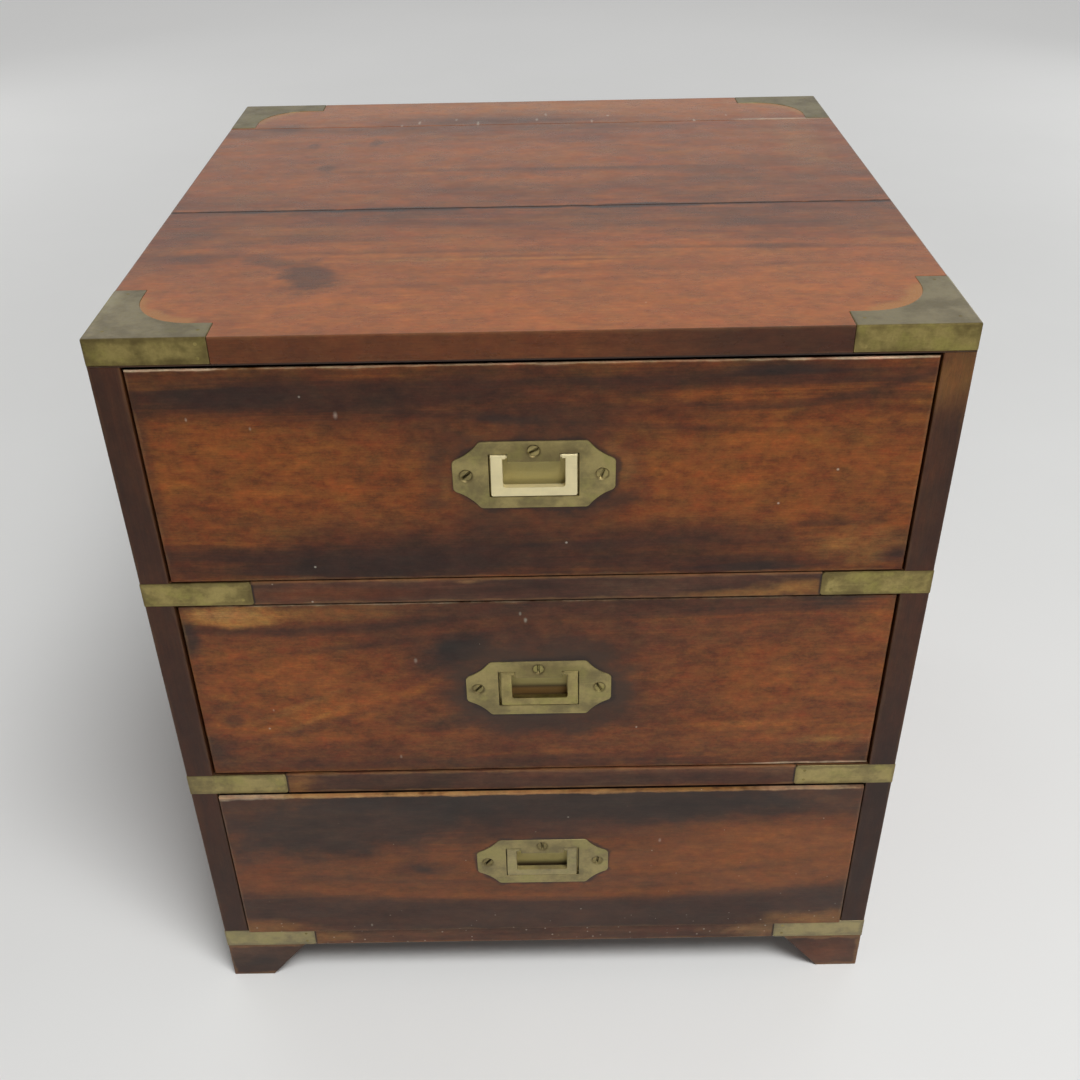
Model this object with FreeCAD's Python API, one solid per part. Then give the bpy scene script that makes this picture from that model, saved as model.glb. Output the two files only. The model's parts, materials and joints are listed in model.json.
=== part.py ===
import FreeCAD, Part

import math
import os

# A campaign-style chest of three drawers with inlaid brass, in millimetres.
# The origin is on the floor under the middle of the carcase, +Z is up and the drawers face -Y.

Vector = FreeCAD.Vector

# Overall size of the carcase
WIDTH = 457.0
DEPTH = 446.0
HEIGHT = 508.0

# Boards of the carcase
BOARD = 16.0
SIDE_BOARD = 17.0
THIN_BOARD = 8.0
FOOT_HEIGHT = 33.0
RAIL_DEPTH = 60.0

# Joints of the carcase
TENON_LENGTH = 8.0
TENON_SHOULDER = 3.0
TENON_SETBACK = 12.0
HOUSING_DEPTH = 6.0
REBATE_WIDTH = 9.0
TONGUE_WIDTH = 6.0
TONGUE_HEIGHT = 7.0
TONGUE_STOP = 16.0
BACK_LAP = 8.0
BACK_GAP = 0.4

# The top is three boards with loose tongues in their joints, measured from the front edge
TOP_JOINTS = (190.0, 379.5)
TOP_GAPS = (0.7, 0.2)
SPLINE_WIDTH = 14.0
SPLINE_HEIGHT = 4.0
SPLINE_STOP = 24.0

# Bracket feet
BRACKET_TOP_LENGTH = 56.0
BRACKET_FOOT_LENGTH = 29.0
BLOCK_SIZE = 12.0
BLOCK_CLEARANCE = 2.0

# Inlaid brass
BRASS = 1.5
BRASS_PROUD = 0.2
ARM_LENGTH = 64.0
CORNER_HEIGHT = 15.0
CORNER_ARM_WIDTH = 18.0
CORNER_COVE = 34.0
PIN_RADIUS = 1.0
PIN_LENGTH = 7.0
PIN_FROM_END = 6.0
PIN_SPREAD = 4.0

# Drawers, from the floor up, with the distance each front stands behind the carcase's front
DRAWERS = ("lower", "middle", "upper")
SETBACK = {"lower": -2.5, "middle": 1.5, "upper": 0.5}
DRAWER_LENGTH = 420.0
FRONT_THICKNESS = 18.0
FRONT_HEIGHT = 134.4
FRONT_SIDE_GAP = 1.2
FRONT_UNDER_GAP = 0.8
WALL = 10.0
WALL_HEIGHT = 126.0
WALL_INSET = 0.3
RUNNING_GAP = 0.3
BOTTOM_THICKNESS = 5.0
BOTTOM_RAISE = 9.0
BOTTOM_GROOVE = 5.0
BACK_LOWERED = 6.0
TAILS = 3
TAIL_LENGTH = 12.0
TAIL_SHARE = 0.56
TAIL_SLOPE = 1.0 / 6.0

# Drawer stops
STOP_LENGTH = 40.0
STOP_DEPTH = 18.0
STOP_HEIGHT = 6.0
STOP_OFFSET = 120.0
STOP_GAP = 0.3

# Flush handle: a plate with a finger cup, and a bail that swings on its own pivots
HANDLE_RAISE = {"lower": 1.8, "middle": 0.0, "upper": 0.0}
PLATE_WIDTH = 89.0
PLATE_HEIGHT = 42.0
PLATE_THICKNESS = 3.0
PLATE_PROUD = 0.3
PLATE_TOP_HALF = 29.6
PLATE_END_HALF = 9.6
PLATE_ROUND = 3.4
SHOULDER_X = 36.3
SHOULDER_Z = 13.9
CUP_WALL = 1.5
CUP_HALF_WIDTH = 17.3
CUP_DEPTH = 6.8
CUP_TOP = 8.2
CUP_ROUND = 2.0
RECESS_HALF_WIDTH = 24.6
RECESS_TOP = 13.1
RECESS_BOTTOM = -13.9
RECESS_DEPTH = 4.1
TONGUE_HALF = 14.4
BAIL_SHIFT = {"lower": -0.5, "middle": 0.6, "upper": 0.0}
BAIL_OUTER = 23.6
BAIL_INNER = 17.1
BAIL_BOTTOM = -13.4
BAIL_BAR_TOP = -8.0
BAIL_FRONT = 0.2
BAIL_THICKNESS = 3.6
BAIL_OUTER_ROUND = 1.2
BAIL_INNER_ROUND = 1.6
PIVOT_Z = 11.0
PIVOT_RADIUS = 1.15
PIVOT_CLEARANCE = 0.05
PIVOT_LENGTH = 6.7
PIVOT_BORE_LENGTH = 7.2
HOOK_GAP = 0.9

# Slotted screws: head radius, shank radius, length
HANDLE_SCREW = (3.4, 1.4, 13.0)
BACK_SCREW = (3.2, 1.6, 20.0)
HEAD_HEIGHT = 2.0
SLOT_WIDTH = 0.9
SLOT_DEPTH = 0.9
SEAT_RADIUS = 4.1
SEAT_DEPTH = 0.5
END_SCREW_X = 37.2
TOP_SCREW_Z = 14.8
BACK_SCREW_HEIGHTS = (45.0, 115.0)

# Worked out from the sizes above
HALF_WIDTH = WIDTH / 2
HALF_DEPTH = DEPTH / 2
INNER = HALF_WIDTH - SIDE_BOARD
TOP_UNDER = HEIGHT - BOARD
OPENING = (TOP_UNDER - FOOT_HEIGHT - len(DRAWERS) * BOARD) / len(DRAWERS)
PITCH = OPENING + BOARD
BACK_FACE = HALF_DEPTH - THIN_BOARD
LEVELS = {
    "bottom": FOOT_HEIGHT,
    "lower": FOOT_HEIGHT + PITCH,
    "upper": FOOT_HEIGHT + 2 * PITCH,
}
QUARTERS = {
    "front_right": (1, 1),
    "front_left": (-1, 1),
    "rear_right": (1, -1),
    "rear_left": (-1, -1),
}


def box(low, high):
    """A block between two opposite corners."""
    size = [b - a for a, b in zip(low, high)]
    return Part.makeBox(size[0], size[1], size[2], Vector(*low))


def prism(points, sweep):
    """A flat polygon pushed along a vector."""
    corners = [Vector(*point) for point in points]
    wire = Part.makePolygon(corners + corners[:1])
    return Part.Face(wire).extrude(Vector(*sweep))


def join(shapes):
    """Several touching shapes as one clean solid."""
    return shapes[0].fuse(shapes[1:]).removeSplitter()


def flip(shape, side_sign, front_sign):
    """A shape of the front right quarter, moved to another quarter by mirroring."""
    if side_sign < 0:
        shape = shape.mirror(Vector(0, 0, 0), Vector(1, 0, 0))
    if front_sign < 0:
        shape = shape.mirror(Vector(0, 0, 0), Vector(0, 1, 0))
    return shape


def let_in(shape, inserts):
    """A shape with room cut out for every insert that reaches it."""
    near = [insert for insert in inserts if shape.BoundBox.intersect(insert.BoundBox)]
    return shape.cut(near) if near else shape


def drawer_floor(name):
    """Height of the surface that a drawer runs on."""
    return FOOT_HEIGHT + BOARD + DRAWERS.index(name) * PITCH


def drawer_face(name):
    """Y of a drawer's front face when it is shut."""
    return -HALF_DEPTH + SETBACK[name]


def screw(head, aim, sizes, turn):
    """A countersunk slotted screw and the plain shape that it fills."""
    head_radius, shank_radius, length = sizes
    axis = Vector(*aim)
    start = Vector(*head)
    cone = Part.makeCone(head_radius, shank_radius, HEAD_HEIGHT, start, axis)
    shank = Part.makeCylinder(shank_radius, length - HEAD_HEIGHT, start + axis * HEAD_HEIGHT, axis)
    body = join([cone, shank])
    reach = head_radius + 1
    slot = box((-reach, -SLOT_DEPTH, -SLOT_WIDTH / 2), (reach, SLOT_DEPTH, SLOT_WIDTH / 2))
    slot.rotate(Vector(0, 0, 0), Vector(0, 1, 0), turn)
    slot.translate(start)
    return body.cut(slot), body


def corner_outline(height):
    """The top plate of a brass corner, two arms joined by a cove, at the front right corner."""
    edge_x = HALF_WIDTH + BRASS_PROUD
    edge_y = -HALF_DEPTH - BRASS_PROUD

    def at(from_side, from_front):
        return Vector(HALF_WIDTH - from_side, -HALF_DEPTH + from_front, height)

    bend = CORNER_ARM_WIDTH + CORNER_COVE
    middle = bend - CORNER_COVE * math.sqrt(0.5)
    start = Vector(edge_x, edge_y, height)
    front_end = Vector(HALF_WIDTH - ARM_LENGTH, edge_y, height)
    side_end = Vector(edge_x, -HALF_DEPTH + ARM_LENGTH, height)
    front_inner = at(ARM_LENGTH, CORNER_ARM_WIDTH)
    side_inner = at(CORNER_ARM_WIDTH, ARM_LENGTH)
    cove_front = at(bend, CORNER_ARM_WIDTH)
    cove_side = at(CORNER_ARM_WIDTH, bend)
    edges = [
        Part.LineSegment(start, front_end).toShape(),
        Part.LineSegment(front_end, front_inner).toShape(),
        Part.LineSegment(front_inner, cove_front).toShape(),
        Part.Arc(cove_front, at(middle, middle), cove_side).toShape(),
        Part.LineSegment(cove_side, side_inner).toShape(),
        Part.LineSegment(side_inner, side_end).toShape(),
        Part.LineSegment(side_end, start).toShape(),
    ]
    return Part.Face(Part.Wire(edges))


def wrap(bottom, top):
    """A brass angle round the front right corner, between two heights."""
    outer_x = HALF_WIDTH + BRASS_PROUD
    outer_y = -HALF_DEPTH - BRASS_PROUD
    front_arm = box(
        (HALF_WIDTH - ARM_LENGTH, outer_y, bottom),
        (outer_x, outer_y + BRASS, top),
    )
    side_arm = box(
        (outer_x - BRASS, outer_y, bottom),
        (outer_x, -HALF_DEPTH + ARM_LENGTH, top),
    )
    return [front_arm, side_arm]


def top_corner():
    """The three-way brass corner of the top, at the front right."""
    plate = corner_outline(HEIGHT + BRASS_PROUD - BRASS).extrude(Vector(0, 0, BRASS))
    return join([plate] + wrap(HEIGHT - CORNER_HEIGHT, HEIGHT + BRASS_PROUD))


def strap(level):
    """The brass strap round the front right corner, as high as its rail."""
    bottom = LEVELS[level]
    return join(wrap(bottom, bottom + BOARD))


def quarter_pins():
    """The brass pins of the front right corner."""
    outer_x = HALF_WIDTH + BRASS_PROUD
    outer_y = -HALF_DEPTH - BRASS_PROUD
    reach = ARM_LENGTH - PIN_FROM_END
    heights = [level + BOARD / 2 for level in LEVELS.values()]
    heights.append(HEIGHT - CORNER_HEIGHT / 2)
    pins = []
    for height in heights:
        for offset in (-PIN_SPREAD, PIN_SPREAD):
            front = Vector(HALF_WIDTH - reach, outer_y, height + offset)
            side = Vector(outer_x, -HALF_DEPTH + reach, height + offset)
            pins.append(Part.makeCylinder(PIN_RADIUS, PIN_LENGTH, front, Vector(0, 1, 0)))
            pins.append(Part.makeCylinder(PIN_RADIUS, PIN_LENGTH, side, Vector(-1, 0, 0)))
    middle = CORNER_ARM_WIDTH / 2
    for from_side, from_front in ((middle, middle), (middle, reach), (reach, middle)):
        place = Vector(HALF_WIDTH - from_side, -HALF_DEPTH + from_front, HEIGHT + BRASS_PROUD)
        pins.append(Part.makeCylinder(PIN_RADIUS, PIN_LENGTH, place, Vector(0, 0, -1)))
    return pins


def brass_work():
    """All corners, straps and pins, with the pin holes drilled."""
    pins = []
    for signs in QUARTERS.values():
        pins.extend(flip(pin, *signs) for pin in quarter_pins())
    brass = {}
    rear_straps = []
    for quarter, signs in QUARTERS.items():
        brass[quarter + "_top_corner"] = let_in(flip(top_corner(), *signs), pins)
        hand = quarter.split("_")[1]
        for level in LEVELS:
            piece = let_in(flip(strap(level), *signs), pins)
            if quarter.startswith("front"):
                brass[level + "_" + hand + "_strap"] = piece
            else:
                rear_straps.append(piece)
    brass["rear_straps"] = Part.makeCompound(rear_straps)
    brass["strap_pins"] = Part.makeCompound(pins)
    return brass


def top_boards():
    """The three boards of the top and the loose tongues in their joints."""
    starts = [-HALF_DEPTH]
    ends = []
    splines = []
    middle = HEIGHT - BOARD / 2
    reach = HALF_WIDTH - SPLINE_STOP
    for joint, gap in zip(TOP_JOINTS, TOP_GAPS):
        place = -HALF_DEPTH + joint
        ends.append(place - gap / 2)
        starts.append(place + gap / 2)
        low = (-reach, place - SPLINE_WIDTH / 2, middle - SPLINE_HEIGHT / 2)
        high = (reach, place + SPLINE_WIDTH / 2, middle + SPLINE_HEIGHT / 2)
        splines.append(box(low, high))
    ends.append(HALF_DEPTH)
    names = ("top_front_board", "top_middle_board", "top_rear_board")
    tongues = [side_tongue(sign) for sign in (-1, 1)]
    boards = {}
    for name, start, end in zip(names, starts, ends):
        board = box((-HALF_WIDTH, start, TOP_UNDER), (HALF_WIDTH, end, HEIGHT))
        boards[name] = let_in(board, splines + tongues)
    boards["top_splines"] = Part.makeCompound(splines)
    return boards


def side_tongue(sign):
    """The tongue on a side board's top edge, which the top sits on."""
    middle = sign * (HALF_WIDTH - SIDE_BOARD / 2)
    low = (middle - TONGUE_WIDTH / 2, -HALF_DEPTH + TONGUE_STOP, TOP_UNDER)
    high = (middle + TONGUE_WIDTH / 2, HALF_DEPTH - TONGUE_STOP, TOP_UNDER + TONGUE_HEIGHT)
    return box(low, high)


def rail_tenon(level, sign):
    """The tenon on one end of a rail."""
    bottom = LEVELS[level] + TENON_SHOULDER
    top = LEVELS[level] + BOARD - TENON_SHOULDER
    front = -HALF_DEPTH + TENON_SETBACK
    back = -HALF_DEPTH + RAIL_DEPTH - THIN_BOARD
    ends = sorted((sign * INNER, sign * (INNER + TENON_LENGTH)))
    return box((ends[0], front, bottom), (ends[1], back, top))


def running_board(level):
    """The board behind a rail, level with its top, housed in the sides."""
    top = LEVELS[level] + BOARD
    reach = INNER + HOUSING_DEPTH
    front = -HALF_DEPTH + RAIL_DEPTH - THIN_BOARD
    return box((-reach, front, top - THIN_BOARD), (reach, BACK_FACE, top))


def rail(level):
    """A rail with a tenon at each end and a rebate for the board behind it."""
    bottom = LEVELS[level]
    bar = box((-INNER, -HALF_DEPTH, bottom), (INNER, -HALF_DEPTH + RAIL_DEPTH, bottom + BOARD))
    tenons = [rail_tenon(level, sign) for sign in (-1, 1)]
    return join([bar] + tenons).cut(running_board(level))


def back_boards():
    """Three boards across the back, each lapped over the one below."""
    reach = INNER + REBATE_WIDTH
    half = BACK_FACE + THIN_BOARD / 2
    boards = []
    for index in range(len(DRAWERS)):
        bottom = FOOT_HEIGHT + index * PITCH
        last = index == len(DRAWERS) - 1
        top = TOP_UNDER if last else bottom + PITCH - BACK_GAP
        board = box((-reach, BACK_FACE, bottom), (reach, HALF_DEPTH, top))
        if index > 0:
            board = board.cut(box((-reach, BACK_FACE, bottom), (reach, half, bottom + BACK_LAP)))
        if not last:
            lap = box((-reach, BACK_FACE, top), (reach, half, bottom + PITCH + BACK_LAP - BACK_GAP))
            board = join([board, lap])
        boards.append(board)
    return boards


def back_screws():
    """The screws of the back boards, and the plain shapes that they fill."""
    made = []
    for index in range(len(DRAWERS)):
        for rise in BACK_SCREW_HEIGHTS:
            for sign in (-1, 1):
                head = (sign * (INNER + REBATE_WIDTH / 2), HALF_DEPTH, FOOT_HEIGHT + index * PITCH + rise)
                turn = 25 * len(made)
                made.append(screw(head, (0, -1, 0), BACK_SCREW, turn))
    return [pair[0] for pair in made], [pair[1] for pair in made]


def side_board(sign):
    """A side with its tongue, housings and rebate."""
    faces = sorted((sign * INNER, sign * HALF_WIDTH))
    board = box((faces[0], -HALF_DEPTH, FOOT_HEIGHT), (faces[1], HALF_DEPTH, TOP_UNDER))
    rebate_faces = sorted((sign * (INNER - 1), sign * (INNER + REBATE_WIDTH)))
    rebate = box(
        (rebate_faces[0], BACK_FACE, FOOT_HEIGHT - 1),
        (rebate_faces[1], HALF_DEPTH + 1, TOP_UNDER),
    )
    rooms = [rebate]
    for level in LEVELS:
        rooms.append(rail_tenon(level, sign))
        rooms.append(running_board(level))
    return join([board, side_tongue(sign)]).cut(rooms)


def foot_brackets():
    """The front right foot's two brackets, mitred at the corner."""
    plan = ((0, 0), (BRACKET_TOP_LENGTH, 0), (BRACKET_TOP_LENGTH, BOARD), (BOARD, BOARD))
    outline = ((0, 0), (BRACKET_FOOT_LENGTH, 0), (BRACKET_TOP_LENGTH, FOOT_HEIGHT), (0, FOOT_HEIGHT))
    face_plan = [(HALF_WIDTH - along, -HALF_DEPTH + inward, 0) for along, inward in plan]
    face_side = [(HALF_WIDTH - along, -HALF_DEPTH, rise) for along, rise in outline]
    side_plan = [(HALF_WIDTH - inward, -HALF_DEPTH + along, 0) for along, inward in plan]
    side_side = [(HALF_WIDTH, -HALF_DEPTH + along, rise) for along, rise in outline]
    face = prism(face_plan, (0, 0, FOOT_HEIGHT)).common(prism(face_side, (0, BOARD, 0)))
    side = prism(side_plan, (0, 0, FOOT_HEIGHT)).common(prism(side_side, (-BOARD, 0, 0)))
    return face, side


def feet():
    """Four bracket feet and the glue blocks in their corners."""
    pieces = {}
    blocks = []
    outer = (HALF_WIDTH - BOARD, -HALF_DEPTH + BOARD)
    block = box(
        (outer[0] - BLOCK_SIZE, outer[1], BLOCK_CLEARANCE),
        (outer[0], outer[1] + BLOCK_SIZE, FOOT_HEIGHT),
    )
    for quarter, signs in QUARTERS.items():
        face, side = foot_brackets()
        pieces[quarter + "_face_bracket"] = flip(face, *signs)
        pieces[quarter + "_side_bracket"] = flip(side, *signs)
        blocks.append(flip(block, *signs))
    pieces["foot_glue_blocks"] = Part.makeCompound(blocks)
    return pieces


def drawer_stops():
    """Two small blocks on each rail, just behind the shut drawer's front."""
    stops = []
    for name in DRAWERS:
        floor = drawer_floor(name)
        front = drawer_face(name) + FRONT_THICKNESS + STOP_GAP
        for sign in (-1, 1):
            middle = sign * STOP_OFFSET
            low = (middle - STOP_LENGTH / 2, front, floor)
            high = (middle + STOP_LENGTH / 2, front + STOP_DEPTH, floor + STOP_HEIGHT)
            stops.append(box(low, high))
    return stops


def carcase():
    """Every fixed piece, with the brass and screws let into the wood."""
    brass = brass_work()
    screws, screw_shapes = back_screws()
    inserts = []
    for shape in brass.values():
        inserts.extend(shape.Solids)
    inserts.extend(screw_shapes)

    wood = top_boards()
    wood["left_side"] = side_board(-1)
    wood["right_side"] = side_board(1)
    board_names = {"bottom": "bottom_board", "lower": "lower_dust_board", "upper": "upper_dust_board"}
    for level in LEVELS:
        wood[level + "_rail"] = rail(level)
        wood[board_names[level]] = running_board(level)
    pieces = {name: let_in(shape, inserts) for name, shape in wood.items()}
    pieces["back_boards"] = Part.makeCompound([let_in(board, inserts) for board in back_boards()])
    pieces["back_screws"] = Part.makeCompound(screws)
    pieces["drawer_stops"] = Part.makeCompound(drawer_stops())
    pieces.update(feet())
    pieces.update(brass)
    return pieces


def dovetails(across, root, tip, low, high):
    """A row of flared tails along Z, from their roots to their wider tips."""
    spacing = (high - low) / TAILS
    half_root = spacing * TAIL_SHARE / 2
    half_tip = half_root + abs(tip - root) * TAIL_SLOPE
    tails = []
    for index in range(TAILS):
        middle = low + (index + 0.5) * spacing
        outline = (
            (across[0], root, middle - half_root),
            (across[0], root, middle + half_root),
            (across[0], tip, middle + half_tip),
            (across[0], tip, middle - half_tip),
        )
        tails.append(prism(outline, (across[1] - across[0], 0, 0)))
    return tails


def plate_outline():
    """The handle plate's outline: flat top, bottom and ends, with a hollow shoulder at each corner."""
    end = PLATE_WIDTH / 2
    top = PLATE_HEIGHT / 2

    def at(x, z):
        return Vector(x, 0, z)

    edges = [
        Part.LineSegment(at(-PLATE_TOP_HALF, top), at(PLATE_TOP_HALF, top)),
        Part.Arc(at(PLATE_TOP_HALF, top), at(SHOULDER_X, SHOULDER_Z), at(end, PLATE_END_HALF)),
        Part.LineSegment(at(end, PLATE_END_HALF), at(end, -PLATE_END_HALF)),
        Part.Arc(at(end, -PLATE_END_HALF), at(SHOULDER_X, -SHOULDER_Z), at(PLATE_TOP_HALF, -top)),
        Part.LineSegment(at(PLATE_TOP_HALF, -top), at(-PLATE_TOP_HALF, -top)),
        Part.Arc(at(-PLATE_TOP_HALF, -top), at(-SHOULDER_X, -SHOULDER_Z), at(-end, -PLATE_END_HALF)),
        Part.LineSegment(at(-end, -PLATE_END_HALF), at(-end, PLATE_END_HALF)),
        Part.Arc(at(-end, PLATE_END_HALF), at(-SHOULDER_X, SHOULDER_Z), at(-PLATE_TOP_HALF, top)),
    ]
    return Part.Face(Part.Wire([edge.toShape() for edge in edges]))


def cup_hollow():
    """The finger cup's hollow, with a rounded floor, open at the front."""
    floor_turn = RECESS_BOTTOM + CUP_ROUND
    back_turn = CUP_DEPTH - CUP_ROUND
    bulge = CUP_ROUND * math.sqrt(0.5)
    left = -CUP_HALF_WIDTH

    def at(depth, z):
        return Vector(left, depth, z)

    edges = [
        Part.LineSegment(at(-1, CUP_TOP), at(CUP_DEPTH, CUP_TOP)),
        Part.LineSegment(at(CUP_DEPTH, CUP_TOP), at(CUP_DEPTH, floor_turn)),
        Part.Arc(
            at(CUP_DEPTH, floor_turn),
            at(back_turn + bulge, floor_turn - bulge),
            at(back_turn, RECESS_BOTTOM),
        ),
        Part.LineSegment(at(back_turn, RECESS_BOTTOM), at(-1, RECESS_BOTTOM)),
        Part.LineSegment(at(-1, RECESS_BOTTOM), at(-1, CUP_TOP)),
    ]
    face = Part.Face(Part.Wire([edge.toShape() for edge in edges]))
    return face.extrude(Vector(2 * CUP_HALF_WIDTH, 0, 0))


def handle_plate_block():
    """The casting's outside: the plate and the walls behind it, with no hollows yet."""
    plate = plate_outline().extrude(Vector(0, PLATE_THICKNESS, 0))
    corners = []
    for sign in (-1, 1):
        corners += upright_edges(plate, PLATE_TOP_HALF, sign * PLATE_HEIGHT / 2)
        corners += upright_edges(plate, PLATE_WIDTH / 2, sign * PLATE_END_HALF)
    plate = plate.makeFillet(PLATE_ROUND, corners)
    pocket_depth = RECESS_DEPTH + CUP_WALL
    outer = RECESS_HALF_WIDTH + CUP_WALL
    parts = [plate]
    for sign in (-1, 1):
        ends = sorted((sign * (TONGUE_HALF - CUP_WALL), sign * outer))
        low = (ends[0], 0, RECESS_BOTTOM - CUP_WALL)
        high = (ends[1], pocket_depth, RECESS_TOP + CUP_WALL)
        parts.append(box(low, high))
    parts.append(box((-TONGUE_HALF, 0, CUP_TOP), (TONGUE_HALF, pocket_depth, RECESS_TOP)))
    cup_outer = CUP_HALF_WIDTH + CUP_WALL
    low = (-cup_outer, 0, RECESS_BOTTOM - CUP_WALL)
    high = (cup_outer, CUP_DEPTH + CUP_WALL, CUP_TOP + CUP_WALL)
    parts.append(box(low, high))
    return join(parts)


def handle_hollows():
    """Everything cut from the casting: bail recess, finger cup and pivot bores."""
    low = (-RECESS_HALF_WIDTH, -1, RECESS_BOTTOM)
    high = (RECESS_HALF_WIDTH, RECESS_DEPTH, RECESS_TOP)
    tongue = box((-TONGUE_HALF, -2, CUP_TOP), (TONGUE_HALF, RECESS_DEPTH + 1, RECESS_TOP + 1))
    hollows = [box(low, high).cut(tongue), cup_hollow()]
    pivot_depth = BAIL_FRONT + BAIL_THICKNESS / 2
    radius = PIVOT_RADIUS + PIVOT_CLEARANCE
    for sign in (-1, 1):
        mouth = Vector(sign * TONGUE_HALF, pivot_depth, PIVOT_Z)
        aim = Vector(-sign, 0, 0)
        hollows.append(Part.makeCylinder(radius, PIVOT_BORE_LENGTH, mouth, aim))
    return hollows


def upright_edges(shape, x, z):
    """The edges that run along Y at a given place, on both sides of the middle."""
    found = []
    for edge in shape.Edges:
        start = edge.Vertexes[0].Point
        end = edge.Vertexes[-1].Point
        along_y = abs(start.x - end.x) < 1e-6 and abs(start.z - end.z) < 1e-6
        if along_y and abs(abs(start.x) - x) < 1e-6 and abs(start.z - z) < 1e-6:
            found.append(edge)
    return found


def bail():
    """The U-shaped bail, with inward hooks that end in pivots."""
    end_radius = BAIL_THICKNESS / 2
    pivot_depth = BAIL_FRONT + end_radius
    back = BAIL_FRONT + BAIL_THICKNESS
    frame = box((-BAIL_OUTER, BAIL_FRONT, BAIL_BOTTOM), (BAIL_OUTER, back, PIVOT_Z))
    frame = frame.cut(box((-BAIL_INNER, -1, BAIL_BAR_TOP), (BAIL_INNER, back + 1, PIVOT_Z + 1)))
    frame = frame.makeFillet(BAIL_OUTER_ROUND, upright_edges(frame, BAIL_OUTER, BAIL_BOTTOM))
    frame = frame.makeFillet(BAIL_INNER_ROUND, upright_edges(frame, BAIL_INNER, BAIL_BAR_TOP))
    parts = [frame]
    hook_end = TONGUE_HALF + HOOK_GAP
    for sign in (-1, 1):
        aim = Vector(-sign, 0, 0)
        outer = Vector(sign * BAIL_OUTER, pivot_depth, PIVOT_Z)
        inner = Vector(sign * hook_end, pivot_depth, PIVOT_Z)
        parts.append(Part.makeCylinder(end_radius, BAIL_OUTER - hook_end, outer, aim))
        parts.append(Part.makeCylinder(PIVOT_RADIUS, PIVOT_LENGTH, inner, aim))
    return join(parts)


def handle(face_y, middle_z, bail_shift, turns):
    """Plate, bail and screws of one handle, with the shapes to let into the drawer front."""
    place = Vector(0, face_y - PLATE_PROUD, middle_z)
    block = handle_plate_block()
    screws = []
    screw_shapes = []
    seats = []
    inward = (0, 1, 0)
    head_radius = HANDLE_SCREW[0]
    spots = ((-END_SCREW_X, 0), (0, TOP_SCREW_Z), (END_SCREW_X, 0))
    for (x, z), turn in zip(spots, turns):
        finished, plain = screw((x, SEAT_DEPTH, z), inward, HANDLE_SCREW, turn)
        screws.append(finished)
        screw_shapes.append(plain)
        seats.append(Part.makeCone(SEAT_RADIUS, head_radius, SEAT_DEPTH, Vector(x, 0, z), Vector(*inward)))
    plate = block.cut(handle_hollows() + screw_shapes + seats)
    ring = bail().translated(Vector(bail_shift, 0, 0))
    for shape in [block, plate, ring] + screws + screw_shapes:
        shape.translate(place)
    return plate, ring, Part.makeCompound(screws), [block] + screw_shapes


def drawer(name, turns):
    """One drawer with dovetailed walls, a grooved-in bottom and its handle."""
    floor = drawer_floor(name)
    face = drawer_face(name)
    inside = face + FRONT_THICKNESS
    rear = face + DRAWER_LENGTH
    reach = INNER - FRONT_SIDE_GAP
    outer = reach - WALL_INSET
    wall_low = floor + RUNNING_GAP
    wall_high = wall_low + WALL_HEIGHT
    bottom_low = wall_low + BOTTOM_RAISE
    bottom_high = bottom_low + BOTTOM_THICKNESS
    back_high = wall_high - BACK_LOWERED

    groove_reach = outer - WALL + BOTTOM_GROOVE
    bottom = box((-groove_reach, inside - BOTTOM_GROOVE, bottom_low), (groove_reach, rear, bottom_high))
    front_low = floor + FRONT_UNDER_GAP
    front = box((-reach, face, front_low), (reach, inside, front_low + FRONT_HEIGHT))
    back = box((-outer, rear - WALL, bottom_high), (outer, rear, back_high))

    pieces = {}
    for hand, sign in (("left", -1), ("right", 1)):
        across = sorted((sign * outer, sign * (outer - WALL)))
        wall = box((across[0], inside, wall_low), (across[1], rear - WALL, wall_high))
        front_tails = dovetails(across, inside, inside - TAIL_LENGTH, wall_low, wall_high)
        rear_tails = dovetails(across, rear - WALL, rear, bottom_high, back_high)
        front = front.cut(front_tails)
        back = back.cut(rear_tails)
        pieces[name + "_drawer_" + hand + "_side"] = join([wall] + front_tails + rear_tails).cut(bottom)

    middle_z = floor + OPENING / 2 + HANDLE_RAISE[name]
    plate, ring, screws, rooms = handle(face, middle_z, BAIL_SHIFT[name], turns)
    pieces[name + "_drawer_front"] = front.cut([bottom] + rooms)
    pieces[name + "_drawer_back"] = back
    pieces[name + "_drawer_bottom"] = bottom
    pieces[name + "_handle_plate"] = plate
    pieces[name + "_handle_bail"] = ring
    pieces[name + "_handle_screws"] = screws
    return pieces


def main():
    """Build every piece and write one file for each node."""
    pieces = carcase()
    slot_turns = {"lower": (130, 85, 95), "middle": (135, 90, 60), "upper": (140, 150, 110)}
    for name in DRAWERS:
        pieces.update(drawer(name, slot_turns[name]))
    os.makedirs("parts", exist_ok=True)
    for name, shape in pieces.items():
        for solid in shape.Solids:
            if not solid.isValid() or solid.Volume <= 0:
                raise RuntimeError(name + " has a bad solid")
        shape.exportStep("parts/" + name + ".step")
    print(len(pieces), "nodes")


main()
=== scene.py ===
import json
import math

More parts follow.
